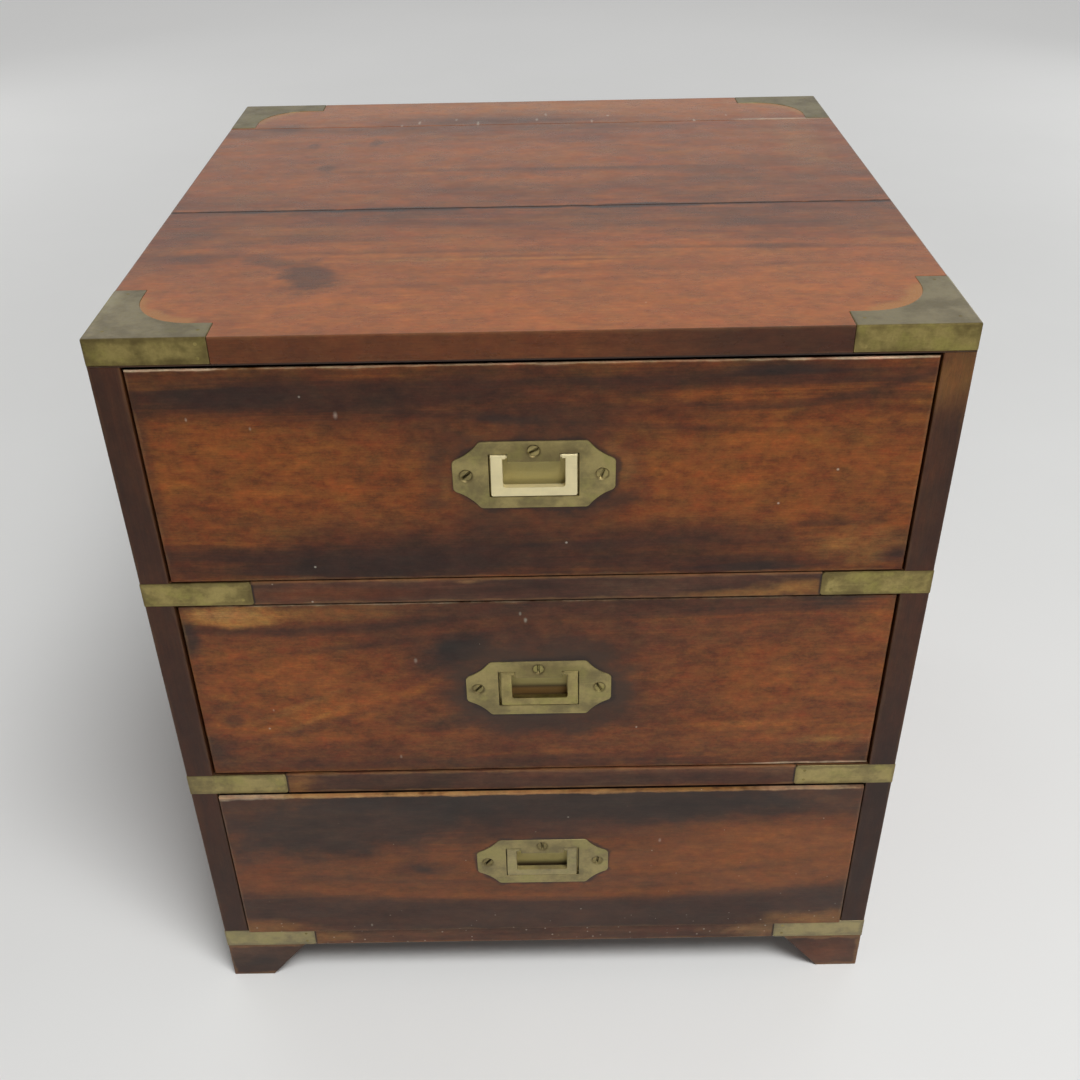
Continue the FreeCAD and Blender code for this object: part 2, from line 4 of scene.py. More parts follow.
import bmesh
import bpy
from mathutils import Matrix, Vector

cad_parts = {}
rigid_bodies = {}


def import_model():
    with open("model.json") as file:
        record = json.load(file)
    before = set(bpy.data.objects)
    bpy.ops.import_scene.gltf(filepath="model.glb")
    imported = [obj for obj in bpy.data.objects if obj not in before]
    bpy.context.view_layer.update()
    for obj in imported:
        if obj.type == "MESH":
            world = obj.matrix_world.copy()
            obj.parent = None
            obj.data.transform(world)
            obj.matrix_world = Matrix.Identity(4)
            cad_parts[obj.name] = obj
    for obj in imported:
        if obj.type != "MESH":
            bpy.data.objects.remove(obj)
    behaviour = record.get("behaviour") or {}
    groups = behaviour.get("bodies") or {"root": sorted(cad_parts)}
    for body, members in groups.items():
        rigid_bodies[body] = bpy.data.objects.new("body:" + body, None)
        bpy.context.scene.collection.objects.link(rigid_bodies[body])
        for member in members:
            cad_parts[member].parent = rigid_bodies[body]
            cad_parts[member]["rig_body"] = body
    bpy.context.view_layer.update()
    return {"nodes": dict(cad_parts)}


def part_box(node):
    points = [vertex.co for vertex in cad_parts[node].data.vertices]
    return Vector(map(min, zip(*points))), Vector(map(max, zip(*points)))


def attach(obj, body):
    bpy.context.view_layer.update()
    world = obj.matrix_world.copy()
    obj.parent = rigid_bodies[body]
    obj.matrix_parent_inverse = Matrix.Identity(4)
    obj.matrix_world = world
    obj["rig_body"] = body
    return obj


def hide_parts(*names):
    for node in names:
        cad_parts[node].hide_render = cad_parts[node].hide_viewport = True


bl_info = {
    "name": "Campaign Nightstand",
    "version": (1, 0, 0),
    "blender": (4, 5, 0),
    "location": "View3D > Sidebar > Nightstand",
    "description": "Finishes a brass-bound three-drawer nightstand around its solid model",
    "category": "Object",
}

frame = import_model()

DRAWERS = ("lower", "middle", "upper")
QUARTERS = ("front_left", "front_right", "rear_left", "rear_right")
LEVELS = ("bottom", "lower", "upper")
HANDS = ("left", "right")

# Which object axis runs along the grain, across the board's face and through the board
FLAT_GRAIN = "XYZ"
FRONT_GRAIN = "XZY"
UPRIGHT_GRAIN = "ZYX"
DEPTH_GRAIN = "YZX"


def colour_setting(label, words, default):
    """A colour that a user may change."""
    return bpy.props.FloatVectorProperty(
        name=label, description=words, subtype="COLOR", size=3, min=0.0, max=1.0, default=default
    )


def length_setting(label, words, default):
    """A length that a user may change, in metres."""
    return bpy.props.FloatProperty(
        name=label, description=words, subtype="DISTANCE", unit="LENGTH", min=0.0, default=default,
        precision=5,
    )


def power_setting(label, words, default):
    """The power of a lamp, in watts."""
    return bpy.props.FloatProperty(name=label, description=words, unit="POWER", min=0.0, default=default)


class NightstandWood(bpy.types.PropertyGroup):
    """Colours and edges of the wood."""

    front_dark: colour_setting("Drawer dark", "Dark lines in the drawer fronts", (0.040, 0.0125, 0.0050))
    front_middle: colour_setting("Drawer middle", "Main brown of the drawer fronts", (0.110, 0.0300, 0.0055))
    front_light: colour_setting("Drawer light", "Orange of the drawer fronts", (0.230, 0.0640, 0.0090))
    top_dark: colour_setting("Top dark", "Dark lines in the top", (0.064, 0.0205, 0.0092))
    top_middle: colour_setting("Top middle", "Main red-brown of the top", (0.150, 0.0430, 0.0115))
    top_light: colour_setting("Top light", "Orange of the top", (0.258, 0.0745, 0.0148))
    frame_dark: colour_setting("Frame dark", "Dark lines in the rails and feet", (0.028, 0.0120, 0.0070))
    frame_middle: colour_setting("Frame middle", "Main brown of the rails and feet", (0.070, 0.0270, 0.0140))
    frame_light: colour_setting("Frame light", "Light brown of the rails and feet", (0.125, 0.0480, 0.0210))
    red: colour_setting("Red", "Redder patches in the wood", (0.185, 0.043, 0.007))
    brown: colour_setting("Brown", "Soft shading in the light wood", (0.085, 0.0260, 0.0085))
    stain: colour_setting("Stain", "Dark streaks and marks", (0.036, 0.0125, 0.0062))
    ink: colour_setting("Ink", "Nearly black marks", (0.0165, 0.0100, 0.0078))
    halo: colour_setting("Halo", "Old polish round a handle", (0.046, 0.0230, 0.0130))
    tan: colour_setting("Tan", "Places where the stain is thin", (0.315, 0.135, 0.029))
    worn: colour_setting("Worn", "Wood where the finish has rubbed off", (0.40, 0.205, 0.075))
    # Along the top edges of the drawer fronts this pale also stands in for a painted highlight
    pale: colour_setting("Pale edge", "Edges rubbed down to dry wood", (0.58, 0.44, 0.30))
    bare: colour_setting("Bare wood", "Unfinished wood inside the drawers", (0.40, 0.25, 0.13))
    dust: colour_setting("Dust", "Film of dust near the floor", (0.100, 0.0850, 0.0700))
    speck: colour_setting("Speck", "Pale flecks of paint and dust", (0.60, 0.54, 0.44))
    arris: length_setting("Arris", "Rounding of the long outer edges", 0.0009)
    fine_arris: length_setting("Fine arris", "Rounding of edges beside thin brass", 0.0006)
    seam: length_setting("Seam", "Rounding of edges beside the brass", 0.0002)


class NightstandBrass(bpy.types.PropertyGroup):
    """Colours and edges of the brass."""

    clean: colour_setting("Clean", "Rubbed brass", (0.365, 0.290, 0.106))
    aged: colour_setting("Aged", "Olive patina", (0.195, 0.153, 0.057))
    green: colour_setting("Green", "Yellow-green patina", (0.325, 0.285, 0.082))
    tarnish: colour_setting("Tarnish", "Brown spots and seams", (0.105, 0.075, 0.031))
    # Dust on the brass; on the faces that look up this grey also stands in for a painted sheen of the pale
    # surround
    dust: colour_setting("Dust", "Grey film on faces that look up", (0.370, 0.338, 0.265))
    # The inside of the cups is painted paler than the plate, to offset the shade that falls in them
    cup: colour_setting("Cup", "Inside of the finger cups", (0.470, 0.390, 0.145))
    # Painted shade low down in the finger cups, behind the bail's bar
    cup_dirt: colour_setting("Cup dirt", "Dirt low down in the finger cups", (0.075, 0.048, 0.018))
    cup_amber: colour_setting("Cup amber", "Warm reflection in a dirty finger cup", (0.23, 0.125, 0.035))
    # The upper bail's bright cream is partly polish and partly a painted reflection of the light above, as
    # if it were tilted out a little
    polished: colour_setting("Polished", "The bright bail of the upper drawer", (0.78, 0.68, 0.395))
    steel: colour_setting("Steel", "Screws of the back", (0.33, 0.31, 0.29))
    edge: length_setting("Edge", "Rounding of brass edges", 0.00045)
    fold: length_setting("Fold", "Rounding of the outer edges of the top corners", 0.0010)
    seam: length_setting("Seam", "Rounding of brass edges beside the wood", 0.0002)
    end: length_setting("Strap end", "Rounding of the ends of the straps", 0.0022)
    bail_edge: length_setting("Bail edge", "Rounding of the bails", 0.0008)


class NightstandStage(bpy.types.PropertyGroup):
    """Camera, light and floor."""

    floor: colour_setting("Floor", "Pale floor", (0.80, 0.805, 0.795))
    glow: colour_setting("Floor glow", "How much paler the far floor looks", (0.22, 0.22, 0.22))
    air: colour_setting("Surround", "Pale surround of the studio", (0.53, 0.525, 0.52))
    camera_place: bpy.props.FloatVectorProperty(
        name="Camera place", description="Where the camera stands", subtype="TRANSLATION", unit="LENGTH",
        size=3, default=(0.004815, -0.795393, 0.765963),
    )
    camera_turn: bpy.props.FloatVectorProperty(
        name="Camera turn", description="How the camera is turned", subtype="EULER", size=3,
        default=(math.radians(56.0717), math.radians(0.9459), math.radians(-0.4093)),
    )
    lens: bpy.props.FloatProperty(
        name="Lens", description="Focal length in millimetres on a 36 mm sensor", min=1.0, default=40.842
    )
    fill: bpy.props.FloatProperty(
        name="Fill", description="Share of the surround that lights the object", subtype="FACTOR",
        min=0.0, max=1.0, default=0.52,
    )
    rear: power_setting("Rear lamps", "Power of each lamp behind", 6.0)
    front: power_setting("Front lamp", "Power of the lamp in front", 58.0)


def is_socket(value):
    """Whether a value comes from another node."""
    return isinstance(value, bpy.types.NodeSocket)


def opaque(colour):
    """A colour with full alpha, or a socket as it is."""
    return colour if is_socket(colour) else (*colour[:3], 1.0)


def scaled(colour, share):
    """A colour made lighter or darker."""
    return tuple(min(1.0, part * share) for part in colour)


class Wiring:
    """Adds nodes to one tree and joins their sockets."""

    def __init__(self, tree):
        self.tree = tree

    def feed(self, sockets, values):
        """Join sockets to other ones, or set their values."""
        for key, value in values.items():
            if is_socket(value):
                self.tree.links.new(value, sockets[key])
            else:
                sockets[key].default_value = value

    def node(self, kind, settings=None, inputs=None):
        """A new node with its settings and inputs."""
        made = self.tree.nodes.new(kind)
        made.location = (len(self.tree.nodes) * 180, 0)
        for key, value in (settings or {}).items():
            setattr(made, key, value)
        self.feed(made.inputs, inputs or {})
        return made

    def math(self, operation, first, second=0.0, third=0.0):
        """One sum on up to three values."""
        inputs = {0: first, 1: second, 2: third}
        return self.node("ShaderNodeMath", {"operation": operation}, inputs).outputs[0]

    def plus(self, first, second):
        """Two values added."""
        return self.math("ADD", first, second)

    def minus(self, first, second):
        """The second value taken from the first."""
        return self.math("SUBTRACT", first, second)

    def times(self, first, second):
        """Two values multiplied."""
        return self.math("MULTIPLY", first, second)

    def over(self, first, second):
        """The first value divided by the second."""
        return self.math("DIVIDE", first, second)

    def least(self, first, second):
        """The smaller of two values."""
        return self.math("MINIMUM", first, second)

    def most(self, first, second):
        """The larger of two values."""
        return self.math("MAXIMUM", first, second)

    def line(self, value, slope, start):
        """A value multiplied by a slope and added to a start."""
        return self.math("MULTIPLY_ADD", value, slope, start)

    def wobble(self, value, spread):
        """A cloudy value spread evenly round nothing."""
        return self.times(self.minus(value, 0.5), spread)

    def near_one(self, value, spread):
        """A cloudy value spread evenly round one."""
        return self.line(value, spread, 1.0 - 0.5 * spread)

    def vector(self, operation, first, second):
        """One sum on two vectors."""
        return self.node("ShaderNodeVectorMath", {"operation": operation}, {0: first, 1: second}).outputs[0]

    def length(self, vector):
        """How long a vector is."""
        return self.node("ShaderNodeVectorMath", {"operation": "LENGTH"}, {0: vector}).outputs["Value"]

    def place(self):
        """The piece's own coordinates."""
        return self.node("ShaderNodeTexCoord").outputs["Object"]

    def split(self, vector):
        """The three parts of a vector."""
        return self.node("ShaderNodeSeparateXYZ", None, {0: vector}).outputs

    def join(self, x, y, z):
        """A vector from three parts."""
        return self.node("ShaderNodeCombineXYZ", None, {0: x, 1: y, 2: z}).outputs[0]

    def turned(self, place, order):
        """Coordinates turned so that the grain runs along the first one."""
        parts = self.split(place)
        return self.join(*[parts["XYZ".index(axis)] for axis in order])

    def noise(self, vector, stretch, detail=2.0, roughness=0.5):
        """Cloudy noise, stretched along the axes."""
        stretched = self.vector("MULTIPLY", vector, stretch)
        inputs = {"Vector": stretched, "Scale": 1.0, "Detail": detail, "Roughness": roughness}
        return self.node("ShaderNodeTexNoise", {"noise_dimensions": "3D"}, inputs).outputs

    def step(self, value, low, high, start=0.0, end=1.0):
        """A smooth change from start to end between two values."""
        settings = {"interpolation_type": "SMOOTHSTEP"}
        inputs = {"Value": value, "From Min": low, "From Max": high, "To Min": start, "To Max": end}
        return self.node("ShaderNodeMapRange", settings, inputs).outputs[0]

    def fade(self, value, low, high):
        """A smooth change from one to nothing between two values."""
        return self.step(value, low, high, 1.0, 0.0)

    def mix(self, share, first, second, blend="MIX"):
        """Two colours mixed."""
        settings = {"data_type": "RGBA", "blend_type": blend}
        inputs = {0: share, 6: opaque(first), 7: opaque(second)}
        return self.node("ShaderNodeMix", settings, inputs).outputs[2]

    def cover(self, colour, tint, mask, amount):
        """A colour with some of a tint laid over it where a mask is."""
        return self.mix(self.times(mask, amount), colour, tint)

    def shade(self, colour, value):
        """A colour made lighter or darker by a value."""
        return self.mix(1.0, colour, self.join(value, value, value), "MULTIPLY")

    def redden(self, colour, value):
        """A colour made redder or less red by a value."""
        return self.mix(1.0, colour, self.join(1.0, value, value), "MULTIPLY")

    def ramp(self, value, stops):
        """A colour picked along a row of stops."""
        made = self.node("ShaderNodeValToRGB", None, {0: value})
        elements = made.color_ramp.elements
        while len(elements) < len(stops):
            elements.new(0.5)
        for element, (place, colour) in zip(elements, stops):
            element.position = place
            element.color = opaque(colour)
        return made.outputs[0]

    def bump(self, height, strength, distance):
        """A normal that follows a height."""
        inputs = {"Strength": strength, "Distance": distance, "Height": height}
        return self.node("ShaderNodeBump", None, inputs).outputs[0]

    def group(self, name, inputs):
        """A shared effect placed in this tree, built the first time that it is asked for."""
        tree = bpy.data.node_groups.get(name) or GROUPS[name](name)
        return self.node("ShaderNodeGroup", {"node_tree": tree}, inputs).outputs


NOWHERE = (0.0, 0.0, 0.0)


def new_group(name, inputs, outputs=("Mask",)):
    """An empty shared effect with its sockets."""
    tree = bpy.data.node_groups.new(name, "ShaderNodeTree")
    for label, default in inputs.items():
        kind = "NodeSocketVector" if default is NOWHERE else "NodeSocketFloat"
        socket = tree.interface.new_socket(name=label, in_out="INPUT", socket_type=kind)
        socket.default_value = default
    for label in outputs:
        tree.interface.new_socket(name=label, in_out="OUTPUT", socket_type="NodeSocketFloat")
    enter = tree.nodes.new("NodeGroupInput")
    leave = tree.nodes.new("NodeGroupOutput")
    return Wiring(tree), enter.outputs, leave.inputs


def figure_group(name):
    """The wood's figure: growth rings round a wandering heart, clouds, mottling, fibres and pores."""
    net, given, made = new_group(
        name,
        {"Vector": NOWHERE, "Seed": 0.0, "Heart Across": 0.1, "Heart Deep": 0.1, "Warp": 0.03},
        ("Broad", "Cloud", "Hue", "Rings", "Lines", "Fibre", "Pores", "Blot", "Mottle", "Tint"),
    )
    seed = given["Seed"]
    place = net.vector("ADD", given["Vector"], net.vector("MULTIPLY", seed, (1.73, 0.91, 1.37)))
    bend = net.noise(place, (2.3, 4.6, 4.6), 3.0, 0.42)[1]
    centred = net.vector("SUBTRACT", bend, (0.5, 0.5, 0.5))
    warp = net.split(net.vector("MULTIPLY", centred, net.join(*[given["Warp"]] * 3)))
    parts = net.split(given["Vector"])
    across = net.minus(net.plus(parts[1], warp[1]), given["Heart Across"])
    deep = net.minus(net.plus(parts[2], warp[2]), given["Heart Deep"])
    radius = net.length(net.join(0.0, across, deep))
    flow = net.join(net.plus(parts[0], seed), radius, seed)
    cloud = net.noise(place, (15.0, 46.0, 46.0), 4.0, 0.58)
    mottle = net.noise(place, (64.0, 112.0, 112.0), 4.5, 0.85)
    dots = net.noise(place, (150.0, 2200.0, 2200.0), 1.0)[0]
    net.feed(made, {
        "Broad": net.noise(flow, (1.7, 24.0, 1.0), 2.0)[0],
        "Rings": net.noise(flow, (2.4, 95.0, 1.0), 3.0, 0.6)[0],
        "Lines": net.noise(flow, (7.0, 420.0, 1.0), 3.0, 0.62)[0],
        "Cloud": cloud[0],
        "Hue": net.split(cloud[1])[2],
        "Fibre": net.noise(place, (60.0, 1500.0, 1500.0), 2.0, 0.6)[0],
        "Pores": net.step(dots, 0.60, 0.72),
        "Blot": net.noise(place, (42.0, 60.0, 60.0), 4.0, 0.62)[0],
        "Mottle": mottle[0],
        "Tint": net.split(mottle[1])[1],
    })
    return net.tree


def stain_group(name):
    """One long or round mark on a board's face, which may bend and tilt, with a frayed rim."""
    net, given, made = new_group(name, {
        "Vector": NOWHERE, "Rim": 0.5, "Along": 0.0, "Across": 0.0, "Half Length": 0.1, "Half Width": 0.01,
        "Bend": 0.0, "Tilt": 0.0, "Softness": 0.5, "Fray": 0.8,
    })
    parts = net.split(given["Vector"])
    along = net.minus(parts[0], given["Along"])
    sag = net.times(net.times(along, along), given["Bend"])
    lean = net.times(along, given["Tilt"])
    across = net.minus(net.minus(parts[1], given["Across"]), net.plus(sag, lean))
    long_share = net.over(along, given["Half Length"])
    wide_share = net.over(across, given["Half Width"])
    reach = net.length(net.join(long_share, wide_share, 0.0))
    reach = net.line(net.wobble(given["Rim"], given["Fray"]), 3.0, reach)
    inner = net.minus(1.0, given["Softness"])
    outer = net.plus(1.0, given["Softness"])
    net.feed(made, {"Mask": net.fade(reach, inner, outer)})
    return net.tree


def wear_group(name):
    """Rubbing along the edges of a box-shaped piece."""
    net, given, made = new_group(
        name, {"Vector": NOWHERE, "Low": NOWHERE, "High": NOWHERE, "Width": 0.002, "Wobble": 0.5}
    )
    from_low = net.vector("SUBTRACT", given["Vector"], given["Low"])
    from_high = net.vector("SUBTRACT", given["High"], given["Vector"])
    x, y, z = net.split(net.vector("MINIMUM", from_low, from_high))
    second = net.most(net.least(x, y), net.least(net.most(x, y), z))
    reach = net.over(second, given["Width"])
    net.feed(made, {"Mask": net.fade(net.plus(reach, net.wobble(given["Wobble"], 4.0)), 0.3, 1.2)})
    return net.tree


# How the shoulders of a handle plate slope
SLOPE_ALONG = 0.608
SLOPE_ACROSS = 0.794


def plate_rim_group(name):
    """A band in the wood round a handle plate, which has sloping shoulders, for dirt with painted shadow at
    its rim and for old polish further out.
    """
    net, given, made = new_group(name, {
        "Vector": NOWHERE, "Across": 0.0, "Half Length": 0.0445, "Half Width": 0.021, "Shoulder": 0.0335,
        "Reach": 0.003, "Wobble": 0.5,
    })
    parts = net.split(given["Vector"])
    along = net.math("ABSOLUTE", parts[0])
    across = net.math("ABSOLUTE", net.minus(parts[1], given["Across"]))
    slope = net.line(along, SLOPE_ALONG, net.times(across, SLOPE_ACROSS))
    beyond = net.most(net.minus(slope, given["Shoulder"]), net.minus(along, given["Half Length"]))
    beyond = net.most(beyond, net.minus(across, given["Half Width"]))
    share = net.over(beyond, given["Reach"])
    net.feed(made, {"Mask": net.fade(net.plus(share, net.wobble(given["Wobble"], 4.0)), 0.0, 1.0)})
    return net.tree


def cove_rim_group(name):
    """A pale rim in the top beside the curved brass of each corner."""
    net, given, made = new_group(name, {
        "Vector": NOWHERE, "Centre Along": 0.1765, "Centre Across": 0.171, "Radius": 0.034, "Width": 0.008,
        "Wobble": 0.5,
    })
    parts = net.split(given["Vector"])
    along = net.minus(net.math("ABSOLUTE", parts[0]), given["Centre Along"])
    across = net.minus(net.math("ABSOLUTE", parts[1]), given["Centre Across"])
    outside = net.join(net.most(along, 0.0), net.most(across, 0.0), 0.0)
    share = net.over(net.minus(given["Radius"], net.length(outside)), given["Width"])
    ring = net.fade(net.plus(share, net.wobble(given["Wobble"], 3.0)), 0.3, 1.2)
    quarter = net.step(net.least(along, across), -0.004, 0.002)
    net.feed(made, {"Mask": net.times(ring, quarter)})
    return net.tree


def speck_group(name):
    """Small scattered flecks."""
    net, given, made = new_group(name, {"Vector": NOWHERE, "Spacing": 70.0, "Share": 0.05, "Size": 0.08})
    inputs = {"Vector": given["Vector"], "Scale": given["Spacing"]}
    cells = net.node("ShaderNodeTexVoronoi", {"feature": "F1"}, inputs).outputs
    chances = net.split(cells["Color"])
    chosen = net.math("LESS_THAN", chances[0], given["Share"])
    size = net.times(given["Size"], net.line(chances[1], 0.8, 0.4))
    dot = net.fade(cells["Distance"], net.times(size, 0.4), size)
    net.feed(made, {"Mask": net.times(chosen, dot)})
    return net.tree


def patina_group(name):
    """Tarnish, clouds, patches, grain and fine scratches of old brass."""
    net, given, made = new_group(
        name, {"Vector": NOWHERE, "Seed": 0.0}, ("Tarnish", "Cloud", "Patch", "Grain", "Scratches")
    )
    place = net.vector("ADD", given["Vector"], net.vector("MULTIPLY", given["Seed"], (0.61, 1.13, 0.87)))
    spots = net.noise(place, (95.0, 95.0, 95.0), 5.0, 0.62)[0]
    cloud = net.noise(place, (58.0, 70.0, 70.0), 4.0, 0.6)
    first = net.noise(place, (40.0, 900.0, 1300.0), 2.0)[0]
    second = net.noise(place, (1300.0, 700.0, 60.0), 2.0)[0]
    net.feed(made, {
        "Tarnish": net.step(spots, 0.50, 0.74),
        "Cloud": cloud[0],
        "Patch": net.split(cloud[1])[2],
        "Grain": net.noise(place, (520.0, 520.0, 520.0), 3.0, 0.65)[0],
        "Scratches": net.most(net.step(first, 0.60, 0.74), net.step(second, 0.64, 0.76)),
    })
    return net.tree


GROUPS = {
    "Wood figure": figure_group,
    "Stain mark": stain_group,
    "Edge wear": wear_group,
    "Plate rim": plate_rim_group,
    "Cove rim": cove_rim_group,
    "Specks": speck_group,
    "Brass patina": patina_group,
}


def new_material(name):
    """A material with a shader and an empty tree round it."""
    material = bpy.data.materials.new(name)
    material.use_nodes = True
    shader = material.node_tree.nodes["Principled BSDF"]
    return material, Wiring(material.node_tree), shader.inputs


def wood_figure(net, grain, seed, heart, warp):
    """The figure of one board."""
    inputs = {"Vector": grain, "Seed": seed, "Heart Across": heart[0], "Heart Deep": heart[1], "Warp": warp}
    return net.group("Wood figure", inputs)


def edge_wear(net, place, box, width, wobble):
    """A mask along the edges of a box-shaped piece."""
    inputs = {"Vector": place, "Low": tuple(box[0]), "High": tuple(box[1]), "Width": width, "Wobble": wobble}
    return net.group("Edge wear", inputs)["Mask"]


PER_METRE = 1000


def mark(kind, along, across, half_length, half_width, strength, soft=0.8, fray=0.8, bend=0.0, tilt=0.0):
    """A mark on a board: its kind, its place and size in millimetres, its strength and its shape."""
    sizes = {"Along": along, "Across": across, "Half Length": half_length, "Half Width": half_width}
    inputs = {label: size / PER_METRE for label, size in sizes.items()}
    inputs.update({"Bend": bend, "Tilt": tilt, "Softness": soft, "Fray": fray})
    return kind, strength, inputs


def add_marks(net, colour, place, marks, looks):
    """Lay a list of marks over a colour. The looks give the tint and the frayed rim of each kind."""
    for kind, strength, inputs in marks:
        tint, rim = looks[kind]
        mask = net.group("Stain mark", dict(inputs, Vector=place, Rim=rim))["Mask"]
        colour = net.cover(colour, tint, mask, strength)
    return colour


def wood_looks(net, figure, wood, tones):
    """The tint and rim of each kind of mark on wood: streaks follow the grain, and the rest is blotchy."""
    streaks = net.times(net.plus(figure["Rings"], figure["Lines"]), 0.5)
    dark, light = tones[0], tones[2]
    streaky = {
        "light": light, "orange": scaled(light, 1.18), "red": wood.red, "brown": wood.brown,
        "stain": wood.stain, "ink": wood.ink,
    }
    blotchy = {
        "blot": wood.stain, "ink_blot": wood.ink, "joint": scaled(dark, 0.3), "tan": wood.tan,
        "worn": wood.worn, "pale": wood.pale, "fleck": wood.speck,
    }
    looks = {kind: (tint, streaks) for kind, tint in streaky.items()}
    looks.update({kind: (tint, figure["Blot"]) for kind, tint in blotchy.items()})
    return looks


FIGURE_WEIGHTS = {"Broad": 0.75, "Cloud": 0.80, "Rings": 0.50, "Lines": 0.26}


def wood_tone(net, figure, tones, contrast, bias):
    """The board's colour before any marks, from its dark lines to its light ones."""
    tone = 0.5 + bias - 0.5 * contrast * sum(FIGURE_WEIGHTS.values())
    for label, weight in FIGURE_WEIGHTS.items():
        tone = net.line(figure[label], weight * contrast, tone)
    colour = net.ramp(tone, list(zip((0.24, 0.48, 0.72), tones)))
    return net.redden(colour, net.step(figure["Hue"], 0.30, 0.70, 0.88, 1.13))


SPECK_SPACING = 230.0
SPECK_SIZE = 0.21
SPECK_BAND = 0.03
FEW_SPECKS = 0.004
LOW_SPECKS = 10.0


def wood_texture(net, colour, place, figure, wood, finish):
    """Mottling, fine fibres, pores and flecks over a board's colour."""
    mottle = finish.get("mottle", 1.6)
    colour = net.shade(colour, net.near_one(figure["Mottle"], mottle))
    colour = net.redden(colour, net.near_one(figure["Tint"], 0.55 * mottle))
    colour = net.shade(colour, net.step(figure["Fibre"], 0.25, 0.75, 0.90, 1.10))
    colour = net.shade(colour, net.step(figure["Blot"], 0.28, 0.72, 0.88, 1.11))
    colour = net.cover(colour, wood.ink, figure["Pores"], 0.22)
    share = finish.get("specks", FEW_SPECKS)
    if "specks_below" in finish:
        edge = finish["specks_below"]
        share = net.step(net.split(place)[2], edge - SPECK_BAND, edge, LOW_SPECKS * share, share)
    inputs = {"Vector": place, "Spacing": SPECK_SPACING, "Share": share, "Size": SPECK_SIZE}
    return net.cover(colour, wood.speck, net.group("Specks", inputs)["Mask"], 0.45)


HALO_REACH = 0.024
# How the painted shade with some grime behind a drawer front's face rises and thins to half, and how far up
# the painted shade under the top reaches
GRIME_RISE = 0.0006
GRIME_THINS = (0.003, 0.009)
GRIME_RIM = 0.0008


def wood_dirt(net, colour, place, grain, figure, wood, finish):
    """Old polish, and dirt with painted shadow, round a handle plate; pale rims beside the brass; dust;
    painted shade with some grime behind a drawer front's face; and painted shade along the lowest edge of
    the top.
    """
    blot = figure["Blot"]
    if "plate_at" in finish:
        inputs = {"Vector": grain, "Across": finish["plate_at"], "Wobble": blot}
        if "halo" in finish:
            wide = dict(inputs, Reach=HALO_REACH, Wobble=net.line(blot, 0.4, 0.3))
            colour = net.cover(colour, wood.halo, net.group("Plate rim", wide)["Mask"], finish["halo"])
        # Dirt and painted shadow in a narrow band where the wood meets the plate
        colour = net.cover(colour, wood.ink, net.group("Plate rim", inputs)["Mask"], 0.72)
    if finish.get("coves"):
        rim = net.group("Cove rim", {"Vector": grain, "Wobble": blot})["Mask"]
        colour = net.cover(colour, wood.tan, rim, 0.75)
    if "dust" in finish:
        film = net.step(figure["Cloud"], 0.3, 0.7, finish["dust"] * 0.6, finish["dust"] * 1.4)
        colour = net.mix(film, colour, wood.dust)
    # Painted shade with some grime on the edges of a drawer front behind its face, which lie in the gaps:
    # full just behind the face, half as strong a few millimetres further back
    if "grime_behind" in finish:
        start = finish["grime_behind"]
        depth = net.split(place)[1]
        grime = net.step(depth, start, start + GRIME_RISE)
        thin = net.step(depth, start + GRIME_THINS[0], start + GRIME_THINS[1], 1.0, 0.5)
        colour = net.cover(colour, scaled(wood.ink, 0.6), grime, thin)
    # Painted shade along the lowest edge of a top board, in the shadow gap under the brass corners; it
    # darkens the underside too
    if "grime_below" in finish:
        edge = finish["grime_below"]
        grime = net.step(net.split(place)[2], edge, edge + GRIME_RIM, 0.85, 0.0)
        colour = net.mix(grime, colour, wood.ink)
    return colour


WOOD_GLOSS = 0.26
WOOD_WARP = 0.035
WEAR_WIDTH = 0.0016
POLISH_FROM = 0.0010
POLISH_TO = 0.0004
POLISH_ROUGH = 0.18
WOOD_BUMP = 0.0006


def wood_material(name, wood, tones, order, seed, box, heart, **finish):
    """Old polished wood for one board: figure, marks, worn edges, dust and specks."""
    material, net, shader = new_material(name)
    place = net.place()
    grain = net.turned(place, order)
    figure = wood_figure(net, grain, seed, heart, WOOD_WARP)
    colour = wood_tone(net, figure, tones, finish.get("contrast", 1.0), finish.get("bias", 0.0))
    colour = add_marks(net, colour, grain, finish["marks"], wood_looks(net, figure, wood, tones))
    wear = edge_wear(net, place, box, finish.get("wear_width", WEAR_WIDTH), figure["Blot"])
    wear = net.times(wear, finish["wear"])
    colour = net.mix(wear, colour, wood.worn)
    colour = wood_texture(net, colour, place, figure, wood, finish)
    colour = wood_dirt(net, colour, place, grain, figure, wood, finish)
    rough = finish.get("rough", 0.36)
    uneven = net.step(figure["Blot"], 0.25, 0.75, rough - 0.07, rough + 0.09)
    roughness = net.line(figure["Lines"], 0.08, uneven)
    if "polish" in finish:
        top = box[1].z
        coat = net.step(net.split(place)[2], top - POLISH_FROM, top - POLISH_TO, 0.0, finish["polish"])
        net.feed(shader, {"Coat Weight": coat, "Coat Roughness": POLISH_ROUGH})
    height = net.noise(place, (15.0, 15.0, 15.0), 2.0)[0]
    for label, share in (("Fibre", 0.07), ("Pores", -0.08), ("Lines", 0.10)):
        height = net.line(figure[label], share, height)
    net.feed(shader, {
        "Base Color": colour,
        "Roughness": net.line(wear, 0.25, roughness),
        "Specular IOR Level": WOOD_GLOSS,
        "Normal": net.bump(height, 0.5, WOOD_BUMP),
    })
    return material


# Widths of the dirty rim and of the painted highlight along the edges of a brass piece
DIRTY_RIM = 0.0026
BRIGHT_RIM = 0.0012


